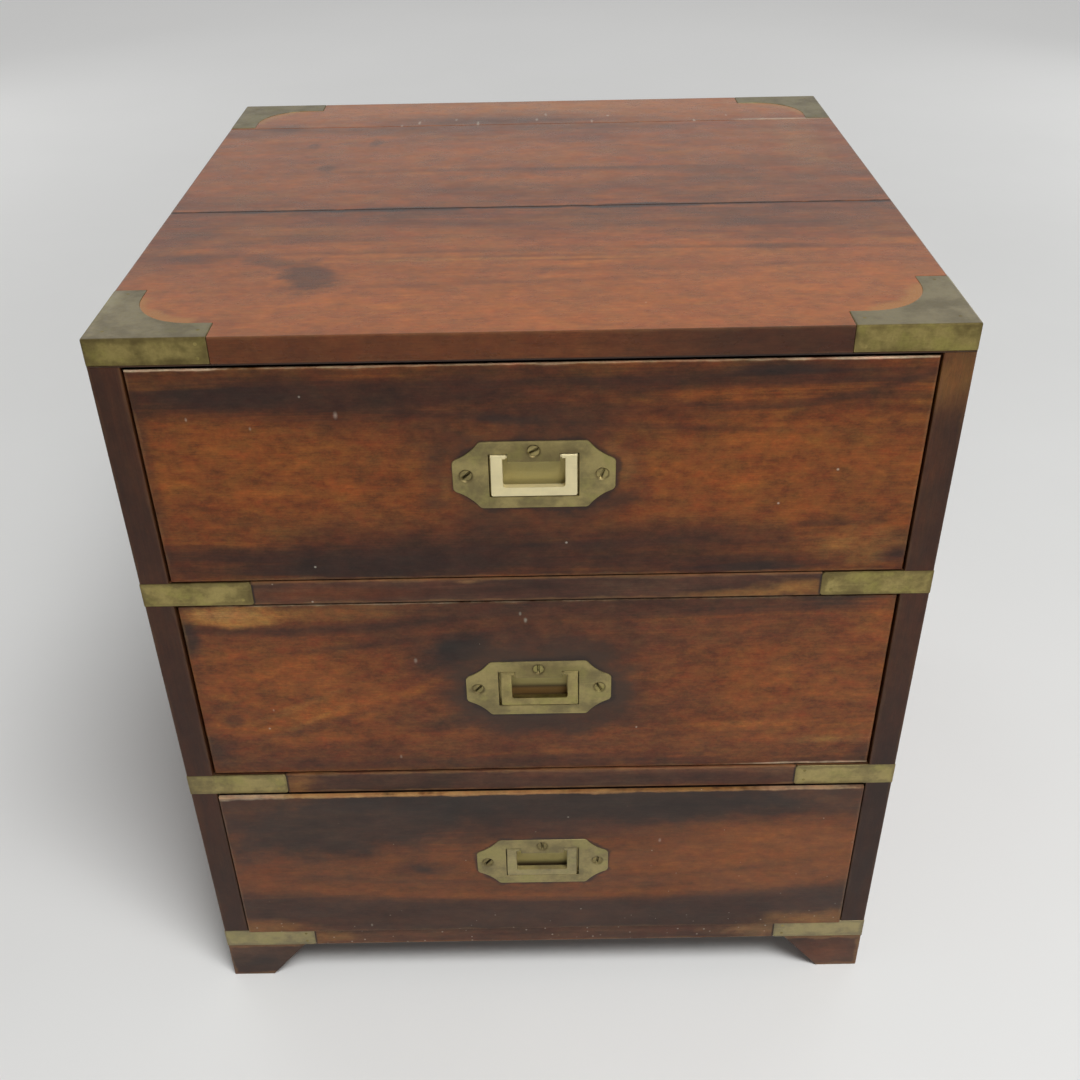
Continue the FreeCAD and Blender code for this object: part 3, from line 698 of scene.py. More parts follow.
def brass_colour(net, place, patina, brass, finish):
    """Colour of old brass, and the share of it that is dirt."""
    tone = finish.get("tone", 1.0)
    clean = finish.get("clean", scaled(brass.clean, tone))
    aged = finish.get("aged", scaled(brass.aged, tone))
    colour = net.mix(net.step(patina["Cloud"], 0.36, 0.64), aged, clean)
    if "clean" not in finish:
        green = net.step(patina["Patch"], 0.48, 0.66, 0.0, 0.65)
        colour = net.mix(green, colour, scaled(brass.green, tone))
    grain = finish.get("grain", 0.12)
    colour = net.shade(colour, net.step(patina["Grain"], 0.25, 0.75, 1.0 - grain, 1.0 + grain))
    dirt = net.times(patina["Tarnish"], finish.get("tarnish", 0.5))
    colour = net.mix(dirt, colour, brass.tarnish)
    colour = net.cover(colour, scaled(clean, 1.3), patina["Scratches"], 0.2)
    if "dirty_edges" in finish:
        rim = edge_wear(net, place, finish["box"], DIRTY_RIM, patina["Patch"])
        colour = net.cover(colour, brass.tarnish, rim, finish["dirty_edges"])
    # A painted highlight along the rounded edges
    if "bright_edges" in finish:
        rim = edge_wear(net, place, finish["box"], BRIGHT_RIM, patina["Cloud"])
        colour = net.cover(colour, scaled(clean, 1.35), rim, finish["bright_edges"])
    if "film" in finish:
        colour = net.mix(finish["film"], colour, brass.dust)
    return colour, dirt


CUP_DEEP = 0.0008
DUST_RISE = 0.0003
BRASS_BUMP = 0.0002


def brass_material(name, brass, seed, **finish):
    """Old brass: patina, spots, dirty edges, a painted highlight along some edges, and scratches, with dust
    and a painted sheen on faces that look up, and a cup inside painted paler to offset its shade, with
    painted shade and reflection low down.
    """
    material, net, shader = new_material(name)
    place = net.place()
    patina = net.group("Brass patina", {"Vector": place, "Seed": seed})
    colour, dirt = brass_colour(net, place, patina, brass, finish)
    rough = finish.get("rough", 0.40)
    roughness = net.step(patina["Grain"], 0.25, 0.75, rough - 0.07, rough + 0.09)
    roughness = net.line(dirt, 0.2, roughness)
    net.feed(shader, {"Metallic": finish.get("metallic", 1.0)})
    # A grey film on faces that look up: partly dust, partly a painted sheen
    if "dust_above" in finish:
        start = finish["dust_above"]
        film = net.step(net.split(place)[2], start, start + DUST_RISE, 0.0, 0.75)
        colour = net.cover(colour, brass.dust, film, net.step(patina["Cloud"], 0.25, 0.65, 0.55, 1.0))
    if "cup_behind" in finish:
        start = finish["cup_behind"]
        parts = net.split(place)
        inside = net.step(parts[1], start, start + CUP_DEEP)
        net.feed(shader, {"Metallic": net.step(parts[1], start, start + CUP_DEEP, 1.0, 0.2)})
        looks = {"smudge": (brass.tarnish, patina["Cloud"])}
        colour = add_marks(net, colour, net.turned(place, FRONT_GRAIN), finish["smudges"], looks)
        # The inside of the cup takes painted colours along its height: paler than the plate to offset its
        # shade, with painted shade and a painted reflection low down
        cup = net.ramp(net.step(parts[2], *finish["cup_heights"]), finish["cup_stops"])
        colour = net.mix(inside, colour, net.cover(cup, brass.aged, dirt, 0.6))
        roughness = net.line(inside, 0.25, roughness)
    height = net.line(patina["Scratches"], -0.35, patina["Grain"])
    height = net.line(patina["Cloud"], 3.0, height)
    net.feed(shader, {
        "Base Color": colour,
        "Roughness": roughness,
        "Normal": net.bump(height, 0.25, BRASS_BUMP),
    })
    return material


BARE_SEED = 4.0
BARE_HEART = (0.6, -0.2)
BARE_WARP = 0.03
BARE_BUMP = 0.0004


def bare_material(name, wood, order, shade):
    """Unpolished pale wood, dry and a little dusty."""
    material, net, shader = new_material(name)
    place = net.place()
    figure = wood_figure(net, net.turned(place, order), BARE_SEED, BARE_HEART, BARE_WARP)
    stops = ((0.28, 0.62), (0.52, 1.0), (0.76, 1.2))
    colour = net.ramp(figure["Rings"], [(spot, scaled(wood.bare, part * shade)) for spot, part in stops])
    colour = net.shade(colour, net.step(figure["Fibre"], 0.25, 0.75, 0.82, 1.1))
    dirt = net.step(net.noise(place, (9.0, 9.0, 9.0), 4.0)[0], 0.5, 0.8, 0.0, 0.5)
    net.feed(shader, {
        "Base Color": net.mix(dirt, colour, scaled(wood.bare, 0.4 * shade)),
        "Roughness": net.step(figure["Blot"], 0.2, 0.8, 0.62, 0.80),
        "Normal": net.bump(figure["Fibre"], 0.5, BARE_BUMP),
    })
    return material


def deselect_all():
    """Nothing selected, and nothing in edit mode."""
    if bpy.context.object and bpy.context.object.mode != "OBJECT":
        bpy.ops.object.mode_set(mode="OBJECT")
    bpy.ops.object.select_all(action="DESELECT")


def activate(piece):
    """Only this piece selected and active."""
    deselect_all()
    piece.select_set(True)
    bpy.context.view_layer.objects.active = piece


SAME_PLACE = 2e-5
SAME_POINT = 4e-6
SHORT_EDGE = 0.0004
LONG_EDGE = 0.004
SHARP_TURN = math.radians(60)
FLAT_TURN = math.radians(14)
SAME_PLANE = math.radians(0.4)
ROUND_TURN = math.radians(40)
EDGE_PROFILE = 0.55


def is_at(edge, axis, limit):
    """Whether both ends of an edge lie at one place on an axis."""
    return all(abs(vert.co[axis] - limit) < SAME_PLACE for vert in edge.verts)


def is_arris(edge, low, high):
    """Whether an edge lies on one of the twelve edges of the piece's box."""
    on_faces = [is_at(edge, axis, low[axis]) or is_at(edge, axis, high[axis]) for axis in range(3)]
    return sum(on_faces) >= 2


def is_sharp(edge):
    """Whether an edge is a real corner, and not part of a small round hole."""
    if len(edge.link_faces) != 2 or edge.calc_length() < SHORT_EDGE:
        return False
    return edge.calc_face_angle(0.0) > SHARP_TURN


def is_long(edge):
    """Whether an edge is longer than the small cuts of the joints."""
    return edge.calc_length() > LONG_EDGE


def select_edges(piece, wanted):
    """Select the edges of the piece in edit mode that pass a test."""
    mesh = bmesh.from_edit_mesh(piece.data)
    bpy.ops.mesh.select_mode(type="EDGE")
    bpy.ops.mesh.select_all(action="DESELECT")
    for edge in mesh.edges:
        if wanted(edge):
            edge.select_set(True)
    mesh.select_flush_mode()
    bmesh.update_edit_mesh(piece.data)


def clean_copy(node, weld=None):
    """The node's shape as a new piece in edit mode, with its flat faces whole again.

    weld picks the points that may be merged, for a node whose solids touch each other.
    """
    piece = bpy.data.objects.new(node + "_finished", frame["nodes"][node].data.copy())
    bpy.context.scene.collection.objects.link(piece)
    activate(piece)
    bpy.ops.object.mode_set(mode="EDIT")
    bpy.ops.mesh.customdata_custom_splitnormals_clear()
    mesh = bmesh.from_edit_mesh(piece.data)
    points = [vert for vert in mesh.verts if weld is None or weld(vert)]
    bmesh.ops.remove_doubles(mesh, verts=points, dist=SAME_POINT)
    bmesh.update_edit_mesh(piece.data)
    bpy.ops.mesh.select_all(action="SELECT")
    bpy.ops.mesh.dissolve_limited(angle_limit=SAME_PLANE)
    return piece


def round_edges(piece, width, wanted, segments=2):
    """Round the edges that pass a test."""
    select_edges(piece, wanted)
    bpy.ops.mesh.bevel(
        offset=width, offset_type="OFFSET", segments=segments, profile=EDGE_PROFILE, affect="EDGES",
        clamp_overlap=False,
    )


def finish_piece(piece, node, material, smooth=FLAT_TURN):
    """Smooth the piece, give it its finish and put it in the node's place."""
    bpy.ops.object.mode_set(mode="OBJECT")
    bpy.ops.object.shade_smooth_by_angle(angle=smooth)
    piece.data.materials.clear()
    piece.data.materials.append(material)
    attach(piece, frame["nodes"][node]["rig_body"])
    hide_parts(node)
    return piece


def dress_board(node, material, arris, seam=None, keep=None, weld=None):
    """A board with rounded arrises, and finer rounding on its other corners."""
    low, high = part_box(node)
    piece = clean_copy(node, weld)

    def wanted(edge):
        """Whether an edge is a corner that may be rounded."""
        return is_sharp(edge) and (keep is None or keep(edge))

    round_edges(piece, arris, lambda edge: is_arris(edge, low, high) and wanted(edge))
    if seam:
        round_edges(piece, seam, wanted)
    return finish_piece(piece, node, material)


def dress_wall(node, material, width):
    """A drawer wall whose upper edges are eased."""
    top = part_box(node)[1].z
    piece = clean_copy(node)
    round_edges(piece, width, lambda edge: is_sharp(edge) and is_at(edge, 2, top))
    return finish_piece(piece, node, material)


def dress_brass(node, material, width, segments=2, smooth=FLAT_TURN):
    """A brass piece with all its corners eased."""
    piece = clean_copy(node)
    round_edges(piece, width, is_sharp, segments)
    return finish_piece(piece, node, material, smooth)


SQUARE_ON = 0.9999


def flatten_faces(piece):
    """Shade the flat faces of a piece flat, apart from its rounded edges."""
    bpy.ops.object.mode_set(mode="EDIT")
    mesh = bmesh.from_edit_mesh(piece.data)
    bpy.ops.mesh.select_mode(type="FACE")
    bpy.ops.mesh.select_all(action="DESELECT")
    for face in mesh.faces:
        if max(abs(part) for part in face.normal) > SQUARE_ON:
            face.select_set(True)
    bmesh.update_edit_mesh(piece.data)
    bpy.ops.mesh.faces_shade_flat()
    bpy.ops.object.mode_set(mode="OBJECT")
    return piece


BRASS_SHEET = 0.0015
END_SEGMENTS = 7
END_CUT = 0.004


def clear_ends(piece, low, high):
    """Cut across the arms of a strap, and clear the corners of their ends from seams in the flat faces."""
    inner = min(low.x, high.x, key=abs)
    across = inner + math.copysign(END_CUT, inner)
    cuts = (((across, 0.0, 0.0), (1.0, 0.0, 0.0)), ((0.0, high.y - END_CUT, 0.0), (0.0, 1.0, 0.0)))
    for place, normal in cuts:
        bpy.ops.mesh.select_all(action="SELECT")
        bpy.ops.mesh.bisect(plane_co=place, plane_no=normal)

    def is_seam(edge):
        """Whether an edge only divides a flat face, and starts at the end of an arm."""
        if edge.calc_face_angle(1.0) > SAME_PLANE:
            return False
        return any(min(abs(vert.co.x - inner), abs(vert.co.y - high.y)) < SAME_PLACE for vert in edge.verts)

    select_edges(piece, is_seam)
    bpy.ops.mesh.dissolve_edges(use_verts=False)


def dress_strap(node, material, width, end):
    """A brass strap with rounded ends and eased corners."""
    low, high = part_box(node)
    piece = clean_copy(node)

    def at_end(edge):
        """Whether an edge crosses the sheet at the end of an arm."""
        return abs(edge.calc_length() - BRASS_SHEET) < SAME_PLACE and is_arris(edge, low, high)

    clear_ends(piece, low, high)
    round_edges(piece, end, at_end, END_SEGMENTS)
    round_edges(piece, width, is_sharp)
    return flatten_faces(finish_piece(piece, node, material))


def paint(node, material):
    """A node that keeps its shape and gets a finish."""
    data = frame["nodes"][node].data
    data.materials.clear()
    data.materials.append(material)


# Marks on the boards, in millimetres. On the top they lie at x and y, on the fronts and rails
# at x and z, and on the sides at z and y.
TOP_MARKS = {
    "front": [
        mark("light", 0, -172, 340, 66, 0.7, soft=0.5, fray=0.4),
        mark("light", -195, -190, 30, 40, 0.45),
        mark("orange", -110, -180, 100, 22, 0.35),
        mark("orange", 130, -165, 90, 30, 0.35),
        mark("orange", 20, -205, 160, 14, 0.35),
        mark("brown", 0, -55, 360, 34, 0.22),
        mark("brown", 185, -65, 70, 40, 0.35),
        mark("brown", -210, -70, 35, 50, 0.3),
        mark("brown", 60, -140, 120, 4, 0.28, bend=0.3),
        mark("brown", -40, -158, 140, 3, 0.28, tilt=0.04),
        mark("blot", -124, -142, 16, 20, 0.7, soft=0.5, fray=0.7),
        mark("blot", -148, -122, 18, 6, 0.45, tilt=-0.4),
        mark("brown", -80, -108.5, 130, 3, 0.5, fray=0.6, bend=-0.25),
        mark("brown", 0, -118, 60, 2.2, 0.45, fray=0.6),
        mark("stain", 30, -125, 32, 1.5, 0.35, fray=0.6),
        mark("brown", 120, -109, 100, 2.6, 0.45, fray=0.6, tilt=-0.03),
        mark("light", 0, -113, 200, 2.2, 0.4, fray=1),
        mark("tan", -20, -122, 80, 2.2, 0.35, fray=0.7),
        mark("blot", -190, -113, 22, 8, 0.5),
        mark("stain", 150, -110, 20, 4, 0.35),
        mark("blot", -178, -34.5, 14, 2.4, 0.75, soft=0.6),
        mark("blot", -90, -34.5, 50, 3, 0.9, soft=0.6),
        mark("blot", 4, -34.5, 16, 2.4, 0.75, soft=0.6),
        mark("blot", 68, -34.5, 36, 3.6, 0.95, soft=0.6),
        mark("blot", 203, -34.5, 16, 2.6, 0.8, soft=0.6),
        mark("joint", 0, -33.8, 400, 2, 0.9, soft=0.5, fray=1.3),
    ],
    "middle": [
        mark("brown", 0, -15, 340, 20, 0.2),
        mark("brown", 170, 10, 70, 50, 0.3),
        mark("brown", -215, 10, 30, 60, 0.25),
        mark("light", -165, 26, 55, 14, 0.55),
        mark("light", -15, 84, 70, 20, 0.6),
        mark("light", 0, 22, 35, 8, 0.5),
        mark("light", -120, 80, 100, 50, 0.45),
        mark("light", 150, 90, 70, 45, 0.4),
        mark("tan", 195, 95, 16, 50, 0.3),
        # A broad light mark, partly paler wood and partly a painted reflection of the pale surround in the
        # polish
        mark("light", 0, 60, 340, 70, 0.22),
        mark("brown", 0, 45, 130, 4, 0.6, fray=1),
        mark("brown", 80, 41, 60, 7, 0.5, fray=1),
        mark("stain", 115, 36, 16, 6, 0.25),
        mark("blot", -157, 107, 4, 8, 0.45, soft=0.6),
        mark("blot", -113, 114, 4, 9, 0.5, soft=0.6),
        mark("blot", -140, 54, 7, 7, 0.5, soft=0.6),
        mark("brown", -20, 148, 130, 14, 0.4),
        mark("stain", -185, 151, 14, 5, 0.55),
        mark("joint", 0, -32.5, 400, 1.5, 0.85, soft=0.5, fray=1.3),
        mark("blot", -90, -32, 48, 2, 0.8, soft=0.6),
        mark("blot", 68, -32, 34, 2.6, 0.9, soft=0.6),
    ],
    "rear": [
        # The broad light and worn marks across the rear board are partly paler wood and partly a painted
        # reflection of the pale surround in the polish
        mark("light", 0, 195, 300, 34, 0.95, soft=0.7),
        mark("orange", 20, 212, 200, 12, 0.5),
        mark("worn", 0, 202, 280, 24, 0.22, fray=0.5),
        mark("orange", -145, 193, 70, 22, 0.6),
        mark("orange", 135, 198, 50, 22, 0.5),
        mark("brown", -30, 172, 90, 14, 0.65),
        mark("stain", -30, 166, 70, 7, 0.4),
        mark("stain", -190, 160, 15, 5, 0.5),
        mark("pale", 195, 158.5, 30, 2, 0.55, soft=0.7),
    ],
}
FRONT_MARKS = {
    "upper": [
        mark("orange", -135, 424, 95, 36, 0.5, fray=0.7),
        mark("orange", 125, 420, 105, 32, 0.6, fray=0.7),
        mark("orange", -185, 447, 30, 14, 0.3),
        mark("brown", 0, 456, 75, 18, 0.5),
        mark("brown", 0, 386, 120, 16, 0.5),
        mark("stain", -120, 472, 92, 10, 0.8, soft=0.7, fray=1),
        mark("stain", 0, 471, 130, 8, 0.45, fray=1.2),
        mark("stain", 120, 480, 110, 5, 0.5, fray=1.2),
        mark("ink", -160, 474, 34, 6, 0.55),
        mark("ink", 128, 484.2, 26, 3.6, 0.8),
        mark("stain", 135, 463.5, 90, 2.2, 0.55, fray=0.6, bend=2.2, tilt=0.08),
        mark("stain", 197, 479, 20, 8, 0.4, tilt=0.5),
        mark("stain", 30, 454.5, 130, 2.2, 0.45, fray=0.6, bend=0.15, tilt=-0.07),
        mark("ink_blot", -18, 458.5, 18, 3.4, 0.75, tilt=-0.1),
        mark("blot", -47, 446, 14, 9, 0.65),
        mark("blot", -49, 420, 8, 14, 0.4),
        mark("blot", 42, 405, 17, 5, 0.6, tilt=0.3),
        mark("tan", 49.5, 428, 4, 7, 0.5),
        mark("tan", 42, 439.5, 4, 4, 0.4),
        mark("tan", -48.5, 416, 3, 6, 0.35),
        mark("stain", -90, 369.5, 140, 13, 0.85, soft=0.7, fray=1),
        mark("ink", -85, 364, 62, 8, 0.6),
        mark("stain", 85, 379, 90, 6, 0.6, fray=1.2),
        mark("stain", 60, 364.5, 120, 5, 0.55, fray=1.2),
        mark("ink", 125, 359.5, 36, 3, 0.75),
        mark("stain", 165, 388.5, 22, 2.2, 0.5),
        mark("tan", 183, 376, 24, 10, 0.5),
        mark("ink_blot", 206, 366, 9, 5, 0.8),
        mark("stain", -208.5, 425, 3.5, 60, 0.45),
        # The pale lines along the top arris are partly rubbed wood and partly a painted highlight where the
        # edge catches the light from above
        mark("pale", 0, 490, 212, 0.5, 0.3, soft=0.6, fray=2),
        mark("pale", -190, 489.9, 26, 0.6, 0.65, soft=0.6, fray=1.2),
        mark("pale", 178, 489.8, 36, 0.8, 0.8, soft=0.6),
    ],
    "middle": [
        mark("red", 0, 268, 300, 80, 0.4),
        mark("orange", -150, 275, 60, 32, 0.6),
        mark("orange", 160, 272, 65, 50, 0.45),
        mark("orange", 202, 322, 14, 16, 0.6),
        mark("brown", 10, 322, 150, 18, 0.55),
        mark("orange", 160, 226, 55, 4.5, 0.75),
        mark("tan", 185, 224, 25, 2.6, 0.75),
        mark("tan", 135, 238.5, 20, 2.2, 0.45),
        mark("orange", 150, 237, 60, 3.5, 0.6),
        mark("tan", -179, 330, 30, 8.5, 0.95, soft=0.35, fray=0.6),
        mark("worn", -185, 331, 16, 3.5, 0.35),
        mark("tan", -120, 332, 45, 5, 0.35),
        mark("stain", -115, 319, 130, 3, 0.7, fray=0.5, bend=0.7, tilt=0.05),
        mark("stain", 70, 334, 150, 10, 0.7, fray=1),
        mark("stain", -80, 309, 80, 2, 0.45, fray=0.5, tilt=0.12),
        mark("ink", 172, 334.5, 20, 4.5, 0.7),
        mark("brown", 0, 274, 80, 48, 0.5, soft=0.7, fray=0.4),
        mark("ink_blot", -51, 299, 22, 13, 0.95, soft=0.6, fray=0.4, tilt=0.25),
        mark("ink_blot", -5, 304, 50, 8, 0.45, fray=0.4, bend=-1),
        mark("ink_blot", -5, 243, 58, 9, 0.8, fray=0.4, bend=0.8),
        mark("ink_blot", -206, 222, 11, 11, 0.85),
        mark("ink_blot", -208, 312, 6, 15, 0.75),
        mark("blot", 205, 214, 9, 7, 0.7),
        mark("brown", -190, 247, 20, 14, 0.55, soft=0.4, fray=0.3),
        mark("orange", -190, 247, 14, 10, 0.65, soft=0.4, fray=0.3),
        mark("brown", -191, 247, 7, 5, 0.75, soft=0.5, fray=0.3),
        mark("orange", -135, 253, 50, 6, 0.8, fray=0.5, tilt=0.3),
        mark("tan", -140, 248, 22, 2.2, 0.4, tilt=0.55),
        mark("tan", -150, 258, 24, 2.5, 0.4, tilt=0.45),
        mark("orange", -88, 262, 26, 3.5, 0.6, fray=0.5, tilt=0.6),
        mark("brown", -145, 240, 60, 3.5, 0.5, fray=0.5, bend=0.8, tilt=0.3),
        mark("stain", -20, 208, 190, 6, 0.7, fray=1),
        mark("brown", 0, 222, 200, 10, 0.4),
        mark("pale", 170, 203.6, 42, 0.9, 0.65, soft=0.6),
        # The pale lines along the top arris are partly rubbed wood and partly a painted highlight where the
        # edge catches the light from above
        mark("pale", -120, 337.1, 95, 0.5, 0.55, soft=0.6, fray=1.4),
        mark("pale", 60, 337.2, 140, 0.4, 0.35, soft=0.6, fray=1.8),
    ],
    "lower": [
        mark("light", 50, 112, 265, 36, 0.6, soft=0.2, fray=0.25, tilt=0.045),
        mark("brown", -130, 110, 100, 28, 0.28),
        mark("brown", 0, 88, 150, 10, 0.22),
        mark("orange", 155, 128, 70, 32, 0.55),
        mark("red", -195, 115, 22, 22, 0.55),
        mark("orange", 10, 84.5, 180, 3.2, 0.4, fray=0.4, bend=0.42, tilt=0.01),
        mark("brown", -20, 99, 170, 2.6, 0.45, fray=0.4, bend=0.4),
        mark("brown", 30, 145, 90, 16, 0.45),
        mark("ink_blot", -120, 160, 85, 30, 0.78, soft=0.35, fray=0.35, tilt=0.16),
        mark("ink_blot", 35, 173, 150, 16, 0.8, soft=0.4, fray=0.35, tilt=-0.02),
        mark("stain", -20, 152, 80, 12, 0.6),
        mark("blot", -195, 165, 26, 24, 0.6, fray=0.4),
        mark("stain", -52, 139, 13, 6, 0.55),
        mark("stain", 0, 60, 320, 19, 0.8, soft=0.25, fray=0.35, bend=0.4),
        mark("ink_blot", -83, 113, 7, 3.5, 0.75, tilt=-0.3),
        mark("blot", -83, 114, 20, 8, 0.35),
        mark("tan", 190, 56, 35, 6, 0.6),
        mark("tan", -190, 55, 24, 6, 0.5),
        # The tan, worn and pale marks along the top edge are partly rubbed wood and partly a painted
        # highlight of the edge and the narrow top face that catch the light from above
        mark("tan", 0, 184.1, 190, 1.1, 0.6, soft=0.6, fray=1.8),
        mark("worn", -135, 184.1, 50, 1.2, 0.8, soft=0.6, fray=1.8),
        mark("worn", -20, 184.1, 60, 0.9, 0.5, soft=0.6, fray=2),
        mark("pale", -192, 183.8, 22, 1.6, 0.5, soft=0.6, fray=1.4),
        mark("pale", 180, 184, 36, 0.9, 0.3, soft=0.6, fray=1.8),
    ],
}
RAIL_MARKS = {
    "upper": [
        mark("tan", 150, 344, 18, 5.5, 0.65, fray=1.2),
        mark("tan", 120, 341, 30, 2.5, 0.45, fray=1.2),
        mark("worn", -40, 353, 6, 1.2, 0.4),
        mark("stain", -50, 346, 100, 2.5, 0.5, fray=1),
        mark("red", -120, 346, 40, 4, 0.4),
    ],
    "lower": [
        mark("tan", -158, 194, 9, 7, 0.55, fray=1.2),
        mark("stain", 80, 195, 90, 3, 0.5, fray=1),
    ],
    "bottom": [
        mark("worn", 148, 42, 22, 6, 0.4, fray=1.2),
        mark("tan", -155, 41, 14, 5, 0.4, fray=1.2),
    ],
}
STILE_MARKS = {
    "left": [
        mark("stain", 270, -223, 70, 3, 0.3),
    ],
    "right": [
        mark("tan", 480, -223, 14, 4, 0.35),
        mark("ink", 140, -223, 60, 3, 0.35),
    ],
}
FOOT_MARKS = {
    "front_left_face": [
        mark("ink_blot", -207, 16, 12, 7, 0.75),
    ],
    "front_right_face": [
        mark("red", 205, 18, 20, 12, 0.35),
    ],
}
SIDE_MARKS = [
    mark("stain", 250, -223.5, 2000, 4, 0.75, soft=0.5, fray=0),
    mark("ink", 250, -223.5, 2000, 4, 0.25, soft=0.5, fray=0),
    mark("stain", 50, 0, 50, 400, 0.35),
]
TOP_FLECKS = (
    (-98, 157, 3), (-85, 165, 3.4), (-40, 160, 5), (-57, 172, 2), (5, 168, 3.2),
    (12, 182, 2.8), (47, 161, 3.6), (60, 176, 1.8), (125, 158, 3), (151, 171, 2),
)
FRONT_FLECKS = {
    "upper": ((-183, 461), (-150, 455), (-104, 462)),
    "middle": ((-165, 256), (-89, 215), (-74, 294), (-10, 328), (-7, 323)),
    "lower": ((-122, 56), (79, 138)),
}
RAIL_MIDDLES = {"upper": 347, "lower": 194, "bottom": 41}
RAIL_ENDS = (-164.5, 164.5)

for at_x, at_y, across in TOP_FLECKS:
    TOP_MARKS["rear"].append(mark("fleck", at_x, at_y, 0.8, across, 0.35, soft=0.6, fray=0.5))
for name, places in FRONT_FLECKS.items():
    for count, (at_x, at_z) in enumerate(places):
        size = 0.5 + 0.2 * (count % 3)
        FRONT_MARKS[name].append(mark("fleck", at_x, at_z, size, 1.8 * size, 0.28))
for level, at_z in RAIL_MIDDLES.items():
    for at_x in RAIL_ENDS:
        RAIL_MARKS[level].append(mark("ink", at_x, at_z, 1.1, 20, 0.85, soft=0.6, fray=0.2))


def middle_of(node):
    """The middle of a node's box."""
    low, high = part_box(node)
    return (low + high) / 2


def tones_of(wood, part):
    """Dark, middle and light of one part's wood."""
    return [tuple(getattr(wood, part + "_" + tone)) for tone in ("dark", "middle", "light")]


def millimetres(*lengths):
    """Lengths in millimetres, as the marks have them."""
    return [PER_METRE * length for length in lengths]


WHOLE = 1000
EDGE_BAND = 0.9
TOP_GRIME = 0.0008


class NIGHTSTAND_OT_top(bpy.types.Operator):
    """Finish the three boards of the top."""

    bl_idname = "nightstand.top"
    bl_label = "Top boards"

    def execute(self, context):
        wood = context.scene.nightstand_wood
        low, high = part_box("top_front_board")[0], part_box("top_rear_board")[1]
        left, front, right, rear = millimetres(low.x, low.y, high.x, high.y)
        edge_marks = [
            mark("red", 0, front, WHOLE, EDGE_BAND, 0.55, soft=0.3, fray=0.0),
            mark("brown", 0, front, WHOLE, EDGE_BAND, 0.75, soft=0.3, fray=0.0),
            mark("stain", 160, front, 100, EDGE_BAND, 0.70, soft=0.5, fray=0.3),
        ]
        end_marks = [
            mark("brown", left, 0, EDGE_BAND, WHOLE, 0.70, soft=0.3, fray=0.0),
            mark("brown", right, 0, EDGE_BAND, WHOLE, 0.70, soft=0.3, fray=0.0),
            mark("brown", 0, rear, WHOLE, EDGE_BAND, 0.70, soft=0.3, fray=0.0),
        ]
        plans = (
            ("front", 3.1, (-0.15, 0.42), TOP_MARKS["front"] + edge_marks + end_marks),
            ("middle", 8.4, (0.06, 0.40), TOP_MARKS["middle"] + end_marks),
            ("rear", 5.7, (0.30, 0.44), TOP_MARKS["rear"] + end_marks),
        )
        for part, seed, heart, marks in plans:
            node = "top_" + part + "_board"
            material = wood_material(
                node, wood, tones_of(wood, "top"), FLAT_GRAIN, seed, (low, high), heart,
                marks=marks, polish=0.3, rough=0.26, wear=0.08, contrast=0.95, bias=0.06, mottle=1.35,
                # painted shade along the lowest edge of the top
                coves=True, grime_below=low.z + TOP_GRIME,
            )
            dress_board(node, material, wood.fine_arris, wood.seam)
        return {"FINISHED"}


INNER_NODES = (
    "upper_dust_board", "lower_dust_board", "bottom_board", "drawer_stops", "top_splines",
    "foot_glue_blocks",
)

# Where the heart of the tree lies from the middle of a rail
RAIL_HEART = -0.06


class NIGHTSTAND_OT_carcase(bpy.types.Operator):
    """Finish the sides, rails, back and inner boards."""

    bl_idname = "nightstand.carcase"
    bl_label = "Carcase"

    def execute(self, context):
        wood = context.scene.nightstand_wood
        brass = context.scene.nightstand_brass
        for hand, seed in zip(HANDS, (2.2, 6.9)):
            node = hand + "_side"
            material = wood_material(
                node, wood, tones_of(wood, "front"), UPRIGHT_GRAIN, seed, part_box(node), (0.1, 0.45),
                marks=SIDE_MARKS + STILE_MARKS[hand], wear=0.06, mottle=1.2,
            )
            dress_board(node, material, wood.arris, wood.seam, is_long)
        for level, seed in zip(LEVELS, (1.4, 4.6, 7.3)):
            node = level + "_rail"
            material = wood_material(
                node, wood, tones_of(wood, "frame"), FRONT_GRAIN, seed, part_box(node),
                (middle_of(node).z + RAIL_HEART, -0.15), marks=RAIL_MARKS[level], wear=0.2,
                specks=0.4 if level == "bottom" else 0.02,
            )
            dress_board(node, material, wood.fine_arris, None, is_long)
        bare = bare_material("inner_boards", wood, FLAT_GRAIN, 0.9)
        for node in INNER_NODES:
            paint(node, bare)
        back = bare_material("back_boards", wood, FRONT_GRAIN, 0.55)
        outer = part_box("back_boards")[1].y
        lap = middle_of("back_boards").y
        dress_board(
            "back_boards", back, wood.fine_arris, wood.fine_arris,
            lambda edge: is_long(edge) and is_at(edge, 1, outer),
            lambda vert: abs(vert.co.y - lap) > SAME_PLACE,
        )
        steel = tuple(brass.steel)
        paint("back_screws", brass_material("back_screws", brass, 3.0, clean=steel, aged=scaled(steel, 0.6)))
        return {"FINISHED"}


LOW_DUST = 0.078


